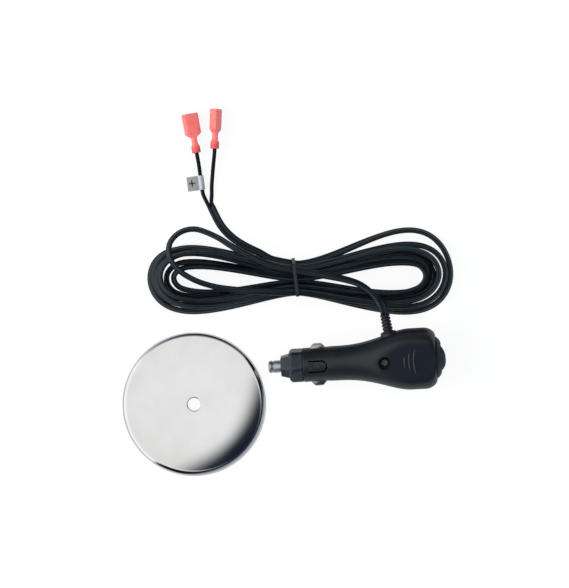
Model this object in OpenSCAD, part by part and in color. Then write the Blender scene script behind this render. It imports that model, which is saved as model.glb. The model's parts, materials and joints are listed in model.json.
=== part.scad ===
// Vehicle power lead: a 12 V plug with a rear switch, a hank of flat twin cord with two
// insulated terminals, and a round steel plate that lies beside it.
// The plug is drawn along its own axis, from the tip backwards, and then laid on the table.

/* [Plug nose] */
// Diameter of the centre contact
tip_d = 7.4; // [7:0.1:8]
// Length of the centre contact in front of the nose
tip_len = 7.5; // [5:0.5:9]
// Length of the tapered nose
nose_len = 5.2; // [4:0.1:7]
// Nose width across corners at its front
nose_front_d = 13; // [12.4:0.1:13.4]
// Nose width across corners at the collar
nose_rear_d = 15.8; // [14.2:0.1:16]
// Length of the six-sided collar
collar_len = 8.2; // [7:0.1:11]
// Width of the collar across its flats
collar_flats = 18.8; // [18.4:0.1:19.6]
// Chamfer at the front of the collar
collar_chamfer = 1.5; // [0.5:0.1:2]
// Angle of the cap's corners about the plug axis
cap_turn = 7; // [0:1:22]

/* [Plug barrel] */
// Outer diameter of the barrel
barrel_d = 20.6; // [20.4:0.1:21.2]
// Bore of the barrel
bore_d = 16.6; // [16.2:0.1:17]
// Length of the round barrel
barrel_len = 18.9; // [18:0.1:24]
// Length of the spigot inside the nose cap
spigot_len = 6.5; // [4:0.1:7]
// Diameter of the spigot
spigot_d = 16; // [15:0.1:16.4]
// Bore of the spigot
spigot_bore = 11.2; // [11:0.1:12]
// Width of the flexible tongue's slot outline
tongue_w = 7.5; // [6:0.1:9]
// Length of the tongue's slot outline
tongue_len = 11.4; // [9:0.1:12]
// Width of the tongue's slot
tongue_slot = 0.9; // [0.6:0.1:1.2]

/* [Plug grip] */
// Length of the grip behind the barrel
grip_len = 61.5; // [60:0.5:70]
// Greatest width of the grip
grip_w = 36.8; // [34:0.2:40]
// Greatest thickness of the grip
grip_t = 29.2; // [28:0.2:32]
// Length of the rounded rear end of the grip
grip_round = 7.5; // [5:0.1:9]
// Wall of the grip
grip_wall = 2.2; // [1.8:0.1:2.4]
// Diameter of the flat rear end
rear_d = 25.8; // [25.6:0.1:27]
// Height of the flat thumb pad above the plug axis
pad_h = 12.6; // [12.4:0.1:13]
// Height of the thumb pad's ribs
rib_h = 0.6; // [0.3:0.1:1]
// Length of the shortest thumb rib
rib_len = 7; // [5:0.5:9]
// Growth of each thumb rib over the one before
rib_growth = 4.3; // [3:0.1:5]
// Pitch of the thumb ribs
rib_pitch = 2.8; // [2.4:0.1:3.2]

/* [Housing screw] */
// Diameter of the screw's shank
screw_d = 3; // [2.5:0.1:3.2]
// Diameter of the screw's head
screw_head_d = 5.4; // [5:0.1:6]
// Diameter of the screw's recess
recess_d = 7.5; // [7:0.1:8]
// Height of the screw's seat above the plug axis
screw_seat_h = 7; // [5:0.5:8]

/* [Fuse and spring] */
// Length of the fuse
fuse_len = 31.8; // [30:0.1:32]
// Diameter of the fuse's end caps
fuse_d = 6.35; // [6:0.05:6.4]
// Length of a fuse cap
fuse_cap_len = 6.5; // [5:0.1:8]
// Diameter of the spring's coil at mid wire
spring_d = 5.6; // [5:0.1:6]
// Diameter of the spring's wire
spring_wire = 0.8; // [0.6:0.1:1]
// Turns of the spring
spring_turns = 5; // [4:1:6]
// Length of the spring
spring_len = 10.3; // [9.4:0.1:11]

/* [Side contacts] */
// Length of a side contact at the barrel
contact_len = 9.5; // [8:0.1:10]
// Width of a side contact
contact_w = 4; // [3:0.1:4.4]
// Height of a side contact above the barrel
contact_rise = 2.4; // [1.8:0.1:2.5]
// Thickness of a side contact
contact_t = 0.5; // [0.4:0.05:0.6]

/* [Switch] */
// Diameter of the switch's bezel
bezel_d = 25; // [24.6:0.1:25.4]
// Height of the domed bezel
bezel_t = 2.8; // [2.4:0.1:3]
// Diameter of the switch's barrel
switch_d = 20; // [19.8:0.1:20.4]
// Depth of the switch's barrel
switch_depth = 17; // [15:0.5:17.5]
// Diameter of the rocker
rocker_d = 17.2; // [16.5:0.1:17.4]
// Slope of each half of the rocker's face
rocker_slope = 14; // [10:1:16]
// Tilt of the rocker to either side
rocker_tilt = 12.5; // [10:0.5:13]
// Diameter of the rocker's pivot pins
pivot_d = 1.6; // [1.2:0.1:1.6]

/* [Strain relief] */
// Length of the relief outside the boss
relief_len = 10.5; // [9:0.5:14]
// Diameter of the relief at the boss
relief_d = 6.3; // [6:0.1:7]
// Diameter of the relief at its end
relief_end_d = 5.8; // [5.6:0.1:6]
// Pitch of the relief's ribs
relief_pitch = 2; // [1.8:0.1:3.4]
// Diameter of the boss around the relief
boss_d = 10; // [9:0.1:11]
// Lean of the relief towards the nose
relief_lean = 8; // [0:1:12]

/* [Cord] */
// Width of the flat twin cord
cord_w = 5; // [4.6:0.1:5.2]
// Thickness of the flat twin cord
cord_t = 2.5; // [2.2:0.1:2.6]
// Height from one layer of the hank to the next
layer_h = 3.2; // [3.1:0.1:4]
// Half length of the hank
hank_reach = 92.7; // [90:0.1:96]
// Width of the tie round the hank
tie_w = 2; // [1.5:0.1:4]
// Thickness of the tie
tie_t = 0.8; // [0.5:0.1:0.8]

/* [Terminals] */
// Width of a terminal's head
head_w = 9.5; // [9:0.1:10]
// Thickness of a terminal's head
head_t = 5; // [4.8:0.1:5.6]
// Length of a terminal's head
head_len = 12.5; // [11:0.5:14]
// Diameter of a terminal's wire barrel
sleeve_d = 5.4; // [5:0.1:5.6]
// Length of a terminal's wire barrel
sleeve_len = 5.5; // [5:0.5:8]
// Wall of a terminal's head
head_wall = 0.7; // [0.5:0.1:0.8]
// Width of the polarity flag
flag_w = 8.6; // [7:0.1:9.5]
// Length of the polarity flag along the wire
flag_len = 8.7; // [7:0.1:9.5]

/* [Plate] */
// Diameter of the plate
plate_d = 87; // [80:1:95]
// Height of the plate
plate_h = 4.4; // [4:0.1:6]
// Thickness of the plate's sheet
plate_t = 1; // [0.8:0.1:1.4]
// Diameter of the plate's centre hole
hole_d = 7.8; // [6:0.1:9]
// Radius of the turned rim
rim_r = 3; // [2.4:0.1:3]
// Diameter of the flat land round the hole
land_d = 26; // [20:1:40]
// Height that the crown falls from the land to the rim
crown_h = 0.9; // [0.5:0.1:1]

/* [Hidden] */
$fn = 48;

// Clearances: running parts, seated parts, and a cut's overrun past a face
run_gap = 0.1;
seat_gap = 0.05;
cut_over = 1;

// Stations along the plug, from the front of the tip
nose_u = tip_len;
collar_u = nose_u + nose_len;
cap_end_u = collar_u + collar_len;
shell_u = cap_end_u + 2 * run_gap;
grip_u = shell_u + barrel_len;
rear_u = grip_u + grip_len;
barrel_r = barrel_d / 2;
bore_r = bore_d / 2;
bore_u = shell_u + 1.3;
flange_t = 2;
flange_r = spigot_bore / 2 - 0.6;
shoulder_u = collar_u - 0.8;
flange_u = shoulder_u + run_gap;
fuse_u = flange_u + flange_t;
spring_u = fuse_u + fuse_len + seat_gap;
seat_t = 0.8;
seat_u = spring_u + spring_len + seat_gap;
bulkhead_u = seat_u + seat_t + seat_gap;
bulkhead_t = 2;

// Contacts and tongue stand behind the front of the barrel; screw and thumb ribs in front of the rear
contact_u = shell_u + 4.3;
tongue_u = shell_u + 3.5;
screw_back = 30.9;
screw_u = rear_u - screw_back;
rib_u = screw_u + 11.9;

// Outline of the grip: it swells from the barrel and is rounded at the rear
grip_step = 0.2;
swell_len = 0.748 * grip_len;
ring_steps = 20;
function smooth(s) = s * s * (3 - 2 * s);
function swell(u) = smooth(pow(min(1, max(0, (u - grip_u) / swell_len)), 1.4));
function rear_arc(u) = sqrt(max(0, 1 - pow(max(0, (u - rear_u + grip_round) / grip_round), 2)));
function grip_half(u, size) =
    let (full = barrel_r + grip_step + (size / 2 - barrel_r - grip_step) * swell(u))
    rear_d / 2 + (full - rear_d / 2) * (u > rear_u - grip_round ? rear_arc(u) : 1);
function squareness(u) = 2 + 0.6 * swell(u) * rear_arc(u);
function bulge(c, n) = sign(c) * pow(abs(c), 2 / n);
function half_ring(u, hw, ht, n, from) = [
    for (i = [0 : ring_steps])
        let (a = from + 180 * i / ring_steps)
        [u, hw * bulge(cos(a), n), ht * bulge(sin(a), n)]
];
grip_stations = concat(
    [for (s = [0, 0.15, 0.3, 0.45, 0.58, 0.7, 0.8, 0.9, 1]) grip_u + swell_len * s],
    [for (q = [0, 0.4, 0.65, 0.83, 0.94, 1]) rear_u - grip_round * (1 - q)]
);
function grip_ring(u, from) = half_ring(u, grip_half(u, grip_w), grip_half(u, grip_t), squareness(u), from);

// The relief's boss stands a little proud of the side of the grip
boss_rise = 1.3;
boss_edge = 0.8;
relief_u = screw_u + 2.9;
relief_v = grip_half(relief_u, grip_w) + boss_rise;

// The hollow of the grip follows its outline inside the wall, below the thumb pad
cavity_u = bulkhead_u + bulkhead_t;
cavity_end_u = rear_u - grip_wall;
cavity_stations = [for (q = [0, 0.25, 0.45, 0.62, 0.8, 0.92, 1]) cavity_u + (cavity_end_u - cavity_u) * q];
function cavity_ring(u, from) = half_ring(u,
    grip_half(u, grip_w) - grip_wall,
    min(grip_half(u, grip_t), pad_h) - grip_wall,
    squareness(u), from);

// Pose of the plug on the table: it lies on its collar and on the fullest part of its grip
tip_x = 45.1;
tip_y = 22.7;
plug_yaw = 3.3;
plug_roll = 8;
foot_u = collar_u + collar_chamfer;
function ring_depth(u) = max([for (p = grip_ring(u, 180)) -(p[1] * sin(plug_roll) + p[2] * cos(plug_roll))]);
plug_pitch = max([for (u = grip_stations) atan((ring_depth(u) - barrel_r) / (u - foot_u))]);
tip_z = barrel_r * cos(plug_pitch) - foot_u * sin(plug_pitch);
function turn_x(p, a) = [p[0], p[1] * cos(a) - p[2] * sin(a), p[1] * sin(a) + p[2] * cos(a)];
function turn_y(p, a) = [p[0] * cos(a) + p[2] * sin(a), p[1], -p[0] * sin(a) + p[2] * cos(a)];
function turn_z(p, a) = [p[0] * cos(a) - p[1] * sin(a), p[0] * sin(a) + p[1] * cos(a), p[2]];
function on_table(p) =
    [tip_x, tip_y, tip_z] + turn_z(turn_y(turn_x(p, plug_roll), -plug_pitch), plug_yaw);
module in_plug() {
    translate([tip_x, tip_y, tip_z])
        rotate([plug_roll, -plug_pitch, plug_yaw])
            children();
}

// A closed skin over rings of points that turn the same way about the direction of travel
module skin(rings) {
    m = len(rings[0]);
    n = len(rings);
    sides = [
        for (i = [0 : n - 2], j = [0 : m - 1])
            let (a = i * m + j, b = i * m + (j + 1) % m)
            each [[a, a + m, b + m], [a, b + m, b]]
    ];
    front = [[for (j = [0 : m - 1]) j]];
    back = [[for (j = [0 : m - 1]) n * m - 1 - j]];
    polyhedron([for (ring = rings) each ring], concat(front, sides, back));
}

// Rings of a flat or round tube along points; its broad side stays level
function unit(v) = v / norm(v);
function heading(path, i) = unit(path[min(i + 1, len(path) - 1)] - path[max(i - 1, 0)]);
function tube_ring(p, t, w, h, sides) =
    let (
        side = unit(cross([0, 0, 1], t)),
        up = cross(t, side),
        first = 180 / sides,
        fw = w / 2 / cos(sides == 6 ? 0 : first),
        fh = h / 2 / (sides == 6 ? sin(60) : cos(first)),
        start = sides == 6 ? 0 : first
    )
    [for (k = [0 : sides - 1]) let (a = start + 360 * k / sides) p + side * fw * cos(a) + up * fh * sin(a)];
module tube(path, w, h, sides = 8) {
    skin([for (i = [0 : len(path) - 1]) tube_ring(path[i], heading(path, i), w, h, sides)]);
}

// Cylinder along the plug axis from one station to another
module rod(u0, u1, d, d2 = undef) {
    translate([u0, 0, 0])
        rotate([0, 90, 0])
            cylinder(h = u1 - u0, d1 = d, d2 = is_undef(d2) ? d : d2);
}

// Half space above (side 1) or below (side -1) the parting plane of the plug
module half_space(side) {
    reach = rear_u + 20;
    translate([-10, -reach / 2, side > 0 ? 0 : -reach])
        cube([reach, reach, reach]);
}

// Frame of the strain relief: z runs out of the boss
module at_relief() {
    translate([relief_u, relief_v, 0])
        rotate([0, 0, relief_lean])
            rotate([-90, 0, 0])
                children();
}

relief_neck_d = relief_d - 0.4;
relief_neck = 5.6;
relief_flange_t = 1.2;
relief_flange_d = 8.8;
window_gap = 0.25;
lead_hole_d = 2.4;
lead_v = 6.8;
seat_lead_v = -4.2;

// Boss through the wall: its inner end is a flat seat for the relief's flange
module relief_boss() {
    at_relief() {
        translate([0, 0, -relief_neck]) cylinder(h = relief_neck - boss_edge, d = boss_d);
        translate([0, 0, -boss_edge]) cylinder(h = boss_edge, d1 = boss_d, d2 = boss_d - 2 * boss_edge);
    }
}

// Barrel, spigot and grip of one half, hollow inside
module shell_wall(side) {
    from = side > 0 ? 0 : 180;
    difference() {
        union() {
            intersection() {
                union() {
                    rod(shell_u, grip_u + 2, barrel_d);
                    rod(shell_u - spigot_len, shell_u + cut_over, spigot_d);
                }
                half_space(side);
            }
            skin([for (u = grip_stations) grip_ring(u, from)]);
        }
        rod(shell_u - spigot_len - cut_over, bore_u + cut_over, spigot_bore);
        rod(bore_u, bulkhead_u, bore_d);
        skin([for (u = cavity_stations) cavity_ring(u, from)]);
        rod(rear_u - grip_wall - cut_over, rear_u + cut_over, switch_d + 2 * run_gap);
        for (v = [-1, 1])
            translate([contact_u - window_gap, v > 0 ? 0 : -barrel_d, -contact_w / 2 - window_gap])
                cube([contact_len + 2 * window_gap, barrel_d, contact_w + 2 * window_gap]);
        for (v = [seat_lead_v, lead_v])
            translate([0, v, 0]) rod(bulkhead_u - cut_over, cavity_u + cut_over, lead_hole_d);
    }
}

// What both half shells share: the wall and the relief's boss with its hole
module shell_half(side) {
    difference() {
        union() {
            shell_wall(side);
            intersection() {
                relief_boss();
                half_space(side);
            }
        }
        at_relief() translate([0, 0, -relief_neck - cut_over])
            cylinder(h = relief_neck + 2 * cut_over, d = relief_neck_d + 2 * seat_gap);
    }
}

// Outline of the tongue's slot, open at the front
module tongue_outline(inset) {
    r = tongue_w / 2 - inset;
    end = tongue_u + tongue_len - tongue_w / 2;
    translate([tongue_u - inset, -r]) square([end - tongue_u + inset, 2 * r]);
    translate([end, 0]) circle(r = r);
}

boss_wall = 1.6;
recess_edge = 0.5;
module upper_shell() {
    color("#23262b") in_plug() difference() {
        union() {
            difference() {
                shell_half(1);
                translate([screw_u - recess_d / 2 + 1, -grip_w, pad_h]) cube([grip_len, 2 * grip_w, grip_t]);
            }
            translate([screw_u, 0, 0]) cylinder(h = pad_h - grip_wall / 2, d = recess_d + 2 * boss_wall);
            thumb_ribs();
            tongue_marks();
        }
        translate([screw_u, 0, -cut_over]) cylinder(h = grip_t, d = screw_d + 2 * seat_gap);
        translate([screw_u, 0, screw_seat_h]) cylinder(h = grip_t, d = recess_d);
        translate([screw_u, 0, pad_h - recess_edge])
            cylinder(h = 2 * recess_edge, d1 = recess_d, d2 = recess_d + 4 * recess_edge);
        translate([0, 0, bore_r - 2]) linear_extrude(height = barrel_d) difference() {
            tongue_outline(0);
            tongue_outline(tongue_slot);
        }
    }
}

// Raised pad at the root of the tongue and a round bump near its end
mark_h = 0.25;
bump_d = 2.6;
pad_len = 2.8;
pad_w = 3.8;
module tongue_marks() {
    translate([tongue_u, -pad_w / 2, barrel_r - cut_over]) cube([pad_len, pad_w, cut_over + mark_h]);
    translate([tongue_u + tongue_len - tongue_w / 2 - tongue_slot, 0, barrel_r - cut_over])
        cylinder(h = cut_over + mark_h, d = bump_d);
}

// Three bowed ribs on the thumb pad, longer towards the rear
rib_w = 0.9;
rib_bow_r = 22;
module thumb_ribs() {
    for (i = [0 : 2]) {
        len_i = rib_len + rib_growth * i;
        translate([rib_u + rib_pitch * i + rib_bow_r, 0, pad_h - cut_over])
            rotate([0, 0, 180 - asin(len_i / 2 / rib_bow_r)])
                rotate_extrude(angle = 2 * asin(len_i / 2 / rib_bow_r))
                    translate([rib_bow_r - rib_w / 2, 0]) square([rib_w, cut_over + rib_h]);
    }
}

module lower_shell() {
    color("#1f2227") in_plug() difference() {
        union() {
            shell_half(-1);
            intersection() {
                translate([screw_u, 0, -grip_t / 2 + grip_wall])
                    cylinder(h = grip_t / 2 - grip_wall - seat_gap, d = screw_d + 2 * grip_wall);
                half_space(-1);
            }
        }
        translate([screw_u, 0, -screw_seat_h - 1]) cylinder(h = grip_t, d = screw_d + 2 * seat_gap);
    }
}

// Six-sided cap: tapered nose, and a collar with a chamfered front and rounded corners
module nose_cap() {
    flats = 6;
    color("#2a2d31") in_plug() rotate([cap_turn, 0, 0]) difference() {
        union() {
            translate([nose_u, 0, 0]) rotate([0, 90, 0])
                cylinder(h = nose_len + seat_gap, d1 = nose_front_d, d2 = nose_rear_d, $fn = flats);
            intersection() {
                translate([collar_u, 0, 0]) rotate([0, 90, 0])
                    cylinder(h = collar_len, d = collar_flats / cos(180 / flats), $fn = flats);
                union() {
                    rod(collar_u, collar_u + collar_chamfer, barrel_d - 2 * collar_chamfer, barrel_d);
                    rod(collar_u + collar_chamfer, cap_end_u, barrel_d);
                }
            }
        }
        rod(nose_u - cut_over, cap_end_u, tip_d + 2 * run_gap);
        rod(shoulder_u, cap_end_u, 2 * flange_r + 0.8);
        rod(shell_u - spigot_len - 2 * run_gap, cap_end_u + cut_over, spigot_d + 3 * run_gap);
    }
}

// Turned contact: grooved and chamfered front, flange behind the nose, cup for the fuse
module center_tip() {
    r = tip_d / 2;
    groove = 0.35;
    cup_depth = 5;
    cup_r = fuse_d / 2 + seat_gap;
    color("#c9ccd0") in_plug() rotate([0, 90, 0]) rotate_extrude() polygon([
        [0, 0], [r - 0.8, 0], [r, 0.8], [r, 2.2], [r - groove, 2.5], [r - groove, 3.1], [r, 3.4],
        [r, flange_u], [flange_r, flange_u], [flange_r, fuse_u], [cup_r + 0.9, fuse_u],
        [cup_r + 0.9, fuse_u + cup_depth], [cup_r, fuse_u + cup_depth], [cup_r, fuse_u], [0, fuse_u]
    ]);
}

fuse_cap_t = 0.5;
fuse_skin = 0.25;
module fuse_tube() {
    d = fuse_d - 2 * fuse_skin - 2 * seat_gap;
    color("#cfe3e6") in_plug() difference() {
        rod(fuse_u + fuse_cap_t, fuse_u + fuse_len - fuse_cap_t, d);
        rod(fuse_u, fuse_u + fuse_len, d - 1.4);
    }
}

module fuse_caps() {
    rear_cap_u = fuse_u + fuse_len - fuse_cap_len;
    color("#bfc3c7") in_plug() {
        difference() {
            rod(fuse_u, fuse_u + fuse_cap_len, fuse_d);
            rod(fuse_u + fuse_cap_t, fuse_u + fuse_cap_len + cut_over, fuse_d - 2 * fuse_skin);
        }
        difference() {
            rod(rear_cap_u, fuse_u + fuse_len, fuse_d);
            rod(rear_cap_u - cut_over, fuse_u + fuse_len - fuse_cap_t, fuse_d - 2 * fuse_skin);
        }
    }
}

module fuse_element() {
    element_d = 0.4;
    color("#8f9499") in_plug() rod(fuse_u + fuse_cap_t, fuse_u + fuse_len - fuse_cap_t, element_d);
}

// Wound spring; its rings stay square to the helix
module tip_spring() {
    steps = spring_turns * 8;
    pitch = (spring_len - spring_wire * 1.2) / steps;
    coil_r = spring_d / 2;
    arc = coil_r * 45 * PI / 180;
    color("#b9bcc0") in_plug() skin([
        for (i = [0 : steps])
            let (
                out = [0, cos(45 * i), sin(45 * i)],
                along = unit([pitch, -arc * sin(45 * i), arc * cos(45 * i)]),
                third = cross(along, out),
                middle = [spring_u + spring_wire * 0.6 + pitch * i, 0, 0] + out * coil_r
            )
            [for (k = [0 : 5]) middle + (out * cos(60 * k) + third * sin(60 * k)) * spring_wire / 2]
    ]);
}

module spring_seat() {
    seat_d = 2 * (lead_v - 1.6);
    color("#c8a24a") in_plug() rod(seat_u, seat_u + seat_t, seat_d);
}

// Pressed contact in a barrel window: flat crown, sloped ends, side cheeks, and feet inside the bore
module side_contact(side) {
    foot = 1.8;
    slope = 2.1;
    foot_v = sqrt(pow(bore_r - seat_gap, 2) - pow(contact_w / 2, 2));
    u0 = contact_u;
    u1 = contact_u + contact_len;
    top = barrel_r + contact_rise;
    t = contact_t;
    color("#d6d8da") in_plug() mirror([0, side > 0 ? 0 : 1, 0]) {
        translate([0, 0, -contact_w / 2]) linear_extrude(height = contact_w) polygon([
            [u0 - foot, foot_v], [u0, foot_v], [u0, barrel_r], [u0 + slope, top],
            [u1 - slope, top], [u1, barrel_r], [u1, foot_v], [u1 + foot, foot_v],
            [u1 + foot, foot_v - t], [u1 - t, foot_v - t], [u1 - t, barrel_r - t / 2],
            [u1 - slope - t / 2, top - t], [u0 + slope + t / 2, top - t],
            [u0 + t, barrel_r - t / 2], [u0 + t, foot_v - t], [u0 - foot, foot_v - t]
        ]);
        for (w = [-contact_w / 2, contact_w / 2 - t])
            translate([0, 0, w]) linear_extrude(height = t) polygon([
                [u0, foot_v], [u0, barrel_r], [u0 + slope, top],
                [u1 - slope, top], [u1, barrel_r], [u1, foot_v]
            ]);
    }
}

module side_contact_left() {
    side_contact(1);
}

module side_contact_right() {
    side_contact(-1);
}

// Pan-head screw with a cross recess
module housing_screw() {
    head_h = 2.2;
    slot_w = 0.9;
    slot_len = 3.4;
    slot_depth = 1.2;
    color("#3b3f45") in_plug() translate([screw_u, 0, screw_seat_h]) difference() {
        rotate_extrude() polygon([
            [0, -2 * screw_seat_h], [screw_d / 2, -2 * screw_seat_h + 1], [screw_d / 2, seat_gap],
            [screw_head_d / 2, seat_gap], [screw_head_d / 2, head_h * 0.6],
            [screw_head_d / 2 - 0.8, head_h], [0, head_h]
        ]);
        for (a = [45, 135])
            rotate([0, 0, a]) translate([-slot_len / 2, -slot_w / 2, head_h - slot_depth])
                cube([slot_len, slot_w, 2 * slot_depth]);
    }
}

// Turned relief: flange inside the housing, neck, and ribs that taper towards the cord
module strain_relief() {
    least_root = 0.4;
    ribs = floor((relief_len - least_root) / relief_pitch);
    rib_part = 0.55;
    function taper(z) = relief_d + (relief_end_d - relief_d) * z / relief_len;
    waist = 0.6;
    ring_points = [
        for (i = [0 : ribs - 1])
            let (z = relief_len - (ribs - i) * relief_pitch)
            each [
                [taper(z) / 2 - waist, z], [taper(z) / 2 - waist, z + relief_pitch * (1 - rib_part)],
                [taper(z) / 2, z + relief_pitch * (1 - rib_part)], [taper(z) / 2, z + relief_pitch]
            ]
    ];
    root_z = relief_len - ribs * relief_pitch;
    color("#1b1d21") in_plug() at_relief() rotate_extrude() polygon(concat(
        [
            [0, -relief_neck - seat_gap - relief_flange_t],
            [relief_flange_d / 2, -relief_neck - seat_gap - relief_flange_t],
            [relief_flange_d / 2, -relief_neck - seat_gap],
            [relief_neck_d / 2, -relief_neck - seat_gap],
            [relief_neck_d / 2, seat_gap], [relief_d / 2, seat_gap], [relief_d / 2, root_z]
        ],
        ring_points,
        [[0, relief_len]]
    ));
}

// Snap-in switch: bezel and barrel with a round pocket and pivot holes for the rocker
pivot_u = rear_u + 0.3;
rocker_swing_r = rocker_d / 2 + 0.55;
pocket_d = 2 * rocker_swing_r + 4 * run_gap;
pocket_floor_u = pivot_u - 6;
pin_reach = rocker_swing_r + 0.7;
bezel_edge = 0.6;
bezel_lip = 0.7;
rocker_dome_r = 14.7;
module switch_body() {
    color("#17191d") in_plug() difference() {
        union() {
            rod(rear_u + seat_gap, rear_u + bezel_edge, bezel_d);
            rod(rear_u + bezel_edge, rear_u + bezel_t, bezel_d, pocket_d + 2 * bezel_lip);
            rod(rear_u - switch_depth, rear_u + 2 * seat_gap, switch_d);
        }
        rod(pocket_floor_u, rear_u + bezel_t + cut_over, pocket_d);
        translate([pivot_u, 0, 0]) rotate([90, 0, 0])
            cylinder(h = 2 * (pin_reach + 0.4), d = pivot_d + 2 * seat_gap, center = true);
    }
}

// Rocker domed across and hollow along its tilt, drawn with its lower half pressed in
module switch_rocker() {
    face = 2;
    skirt = 3;
    rise = rocker_d / 2 * tan(rocker_slope);
    color("#101215") in_plug() translate([pivot_u, 0, 0]) rotate([0, rocker_tilt, 0]) {
        intersection() {
            translate([-skirt, 0, 0]) rotate([0, 90, 0]) cylinder(h = skirt + face + rise, d = rocker_d);
            rotate([90, 0, 0]) cylinder(h = rocker_d, r = rocker_swing_r, center = true);
            translate([face + rise - rocker_dome_r, 0, 0])
                cylinder(h = 2 * rocker_d, r = rocker_dome_r, center = true, $fn = 96);
            rotate([90, 0, 0]) linear_extrude(height = rocker_d, center = true) polygon([
                [-skirt, -rocker_d / 2], [face + rise, -rocker_d / 2], [face, 0],
                [face + rise, rocker_d / 2], [-skirt, rocker_d / 2]
            ]);
        }
        rotate([90, 0, 0]) cylinder(h = 2 * pin_reach, d = pivot_d, center = true);
    }
}

blade_w = 4.8;
blade_t = 0.8;
blade_len = 8;
blade_pitch = 7;
blade_u = rear_u - switch_depth - blade_len;
module switch_blades() {
    color("#c7a75a") in_plug()
        for (w = [-0.5, 0.5])
            translate([blade_u, -blade_w / 2, w * blade_pitch - blade_t / 2])
                cube([blade_len, blade_w, blade_t]);
}

// Three insulated leads inside the grip: seat to switch, switch to cord, contact to cord
lead_d = 1.4;
blade_side = blade_w / 2 + 1;
relief_inner_v = relief_v - 7.7;
function between(a, b, shares) = [for (f = shares) a + (b - a) * f];
seat_lead = let (du = blade_u - cavity_u) [
    [cavity_u + 0.5, seat_lead_v, 0], [cavity_u + 0.1 * du, seat_lead_v - 0.4, 0],
    [cavity_u + 0.24 * du, -6.4, 0], [cavity_u + 0.42 * du, -8, 0], [cavity_u + 0.7 * du, -8.4, 1],
    [cavity_u + 0.93 * du, -6, 3], [blade_u + lead_d / 2, -blade_side, blade_pitch / 2]
];
switch_lead = between(
    [blade_u + lead_d / 2, blade_side, -blade_pitch / 2], [relief_u + 1.1, relief_inner_v, -1.2],
    [0, 0.3, 0.6, 0.85, 1]);
contact_lead = concat(
    [[contact_u + contact_len + 3.7, lead_v, 0], [bulkhead_u - 9, lead_v, 0], [cavity_u - 1, lead_v, 0]],
    between([cavity_u, lead_v, 0], [relief_u - 0.1, relief_inner_v, 1.4], [0.2, 0.55, 0.83, 1]));
module inner_leads() {
    color("#7d2b2b") in_plug()
        for (path = [seat_lead, switch_lead, contact_lead])
            tube(path, lead_d, lead_d);
}

// The hank: six and a half turns, clockwise from the tail, spiralling in and out.
// It climbs in four places, and the loops of each higher layer draw in a little
hank_x = 62.5;
hank_y = 75;
hank_turns = 6.5;
loop_rings = 24;
reach_step = 7;
left_belly = 49;
right_belly = 46.6;
belly_step = 17;
left_lift = 2;
right_lift = 3.5;
waist_y = 9.4;
waist_step = 5.6;
waist_lift = 1.3;
first_rise = 5;
climb_turns = 0.3;
climbs = [1.75, 3.25, 4.75, 6.25];
reach_draw = 0.3;
belly_draw = 0.2;
function rank(s) = s < 0 ? s : 1.5 - abs(s % 3 - 1.5);
function clamp01(x) = min(1, max(0, x));
function sum_of(list, i = 0) = i < len(list) ? list[i] + sum_of(list, i + 1) : 0;
function layer_at(t) = sum_of([for (c = climbs) clamp01((t - c) / climb_turns + 0.5)]);
function hank_point(t) =
    let (
        r = rank(t - 0.25),
        layer = layer_at(t),
        a = 90 - 360 * t,
        c = cos(a),
        open = pow(abs(c), 1.5),
        w = waist_y - waist_step * r,
        b = (c > 0 ? right_belly : left_belly) - belly_step * (r + belly_draw * layer),
        lift = c > 0 ? right_lift : left_lift,
        rise = t < 0.25 ? first_rise * pow(sin(720 * t), 2) : 0
    )
    [
        hank_x + (hank_reach - reach_step * (r + reach_draw * layer)) * c,
        hank_y + sin(a) * (w + (b - w) * open) + lift * open + rise,
        cord_t / 2 + layer_h * layer + waist_lift * max(0, 1 - 2.5 * abs(c))
    ];
hank_loops = [for (i = [0 : hank_turns * loop_rings]) hank_point(i / loop_rings)];

// Both ends of the hank run straight for one cord width
hank_last = len(hank_loops) - 1;
tail_lean = 9;
way_in = [cos(tail_lean), -sin(tail_lean), 0];
way_out = [-1, 0, 0];
hank_start = hank_loops[0] - way_in * cord_w;
hank_end = hank_loops[hank_last] + way_out * cord_w;
hank_path = concat([hank_start], hank_loops, [hank_end]);

// Least gap of the hank to itself: side by side in a layer, or one layer above another
near_rings = 6;
hank_gap = min([
    for (i = [0 : len(hank_path) - 1 - near_rings], j = [i + near_rings : len(hank_path) - 1])
        let (d = hank_path[j] - hank_path[i])
        max(norm([d[0], d[1]]) - cord_w, abs(d[2]) - cord_t)
]);
echo(hank_gap = hank_gap);

module cord_hank() {
    color("#1d2024") tube(hank_path, cord_w, cord_t, 6);
}

// From the end of the hank round the left loop, back through the tie and over the bundle to the plug
lead_waist = [62, 82, 15.4];
LEAD = [
    [45, 67.6, 15.8], [34, 68.4, 15.8], [22, 69.6, 15.6], [11, 71.6, 15.4], [0, 75.4, 15.4], [-9.6, 81.6, 15.4],
    [-14.6, 89, 15.2], [-14.6, 97, 14.2], [-9, 103.6, 11.6], [0, 106, 10], [13, 101.6, 11.4], [24, 95, 13.8],
    [36, 88.8, 14.8], [48, 84.4, 15.4], lead_waist, [76, 79.4, 15.4], [90, 76, 15.6], [101, 72, 16.1],
    [108.6, 66, 16.8]
];
relief_out = [-sin(relief_lean), cos(relief_lean), 0];
relief_end = [relief_u, relief_v, 0] + relief_out * relief_len;
lead_path = concat([hank_end, hank_end + way_out * cord_w], LEAD,
    [on_table(relief_end + relief_out * cord_w), on_table(relief_end)]);
module cord_lead() {
    color("#1d2024") tube(lead_path, cord_w, cord_t);
}

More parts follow.
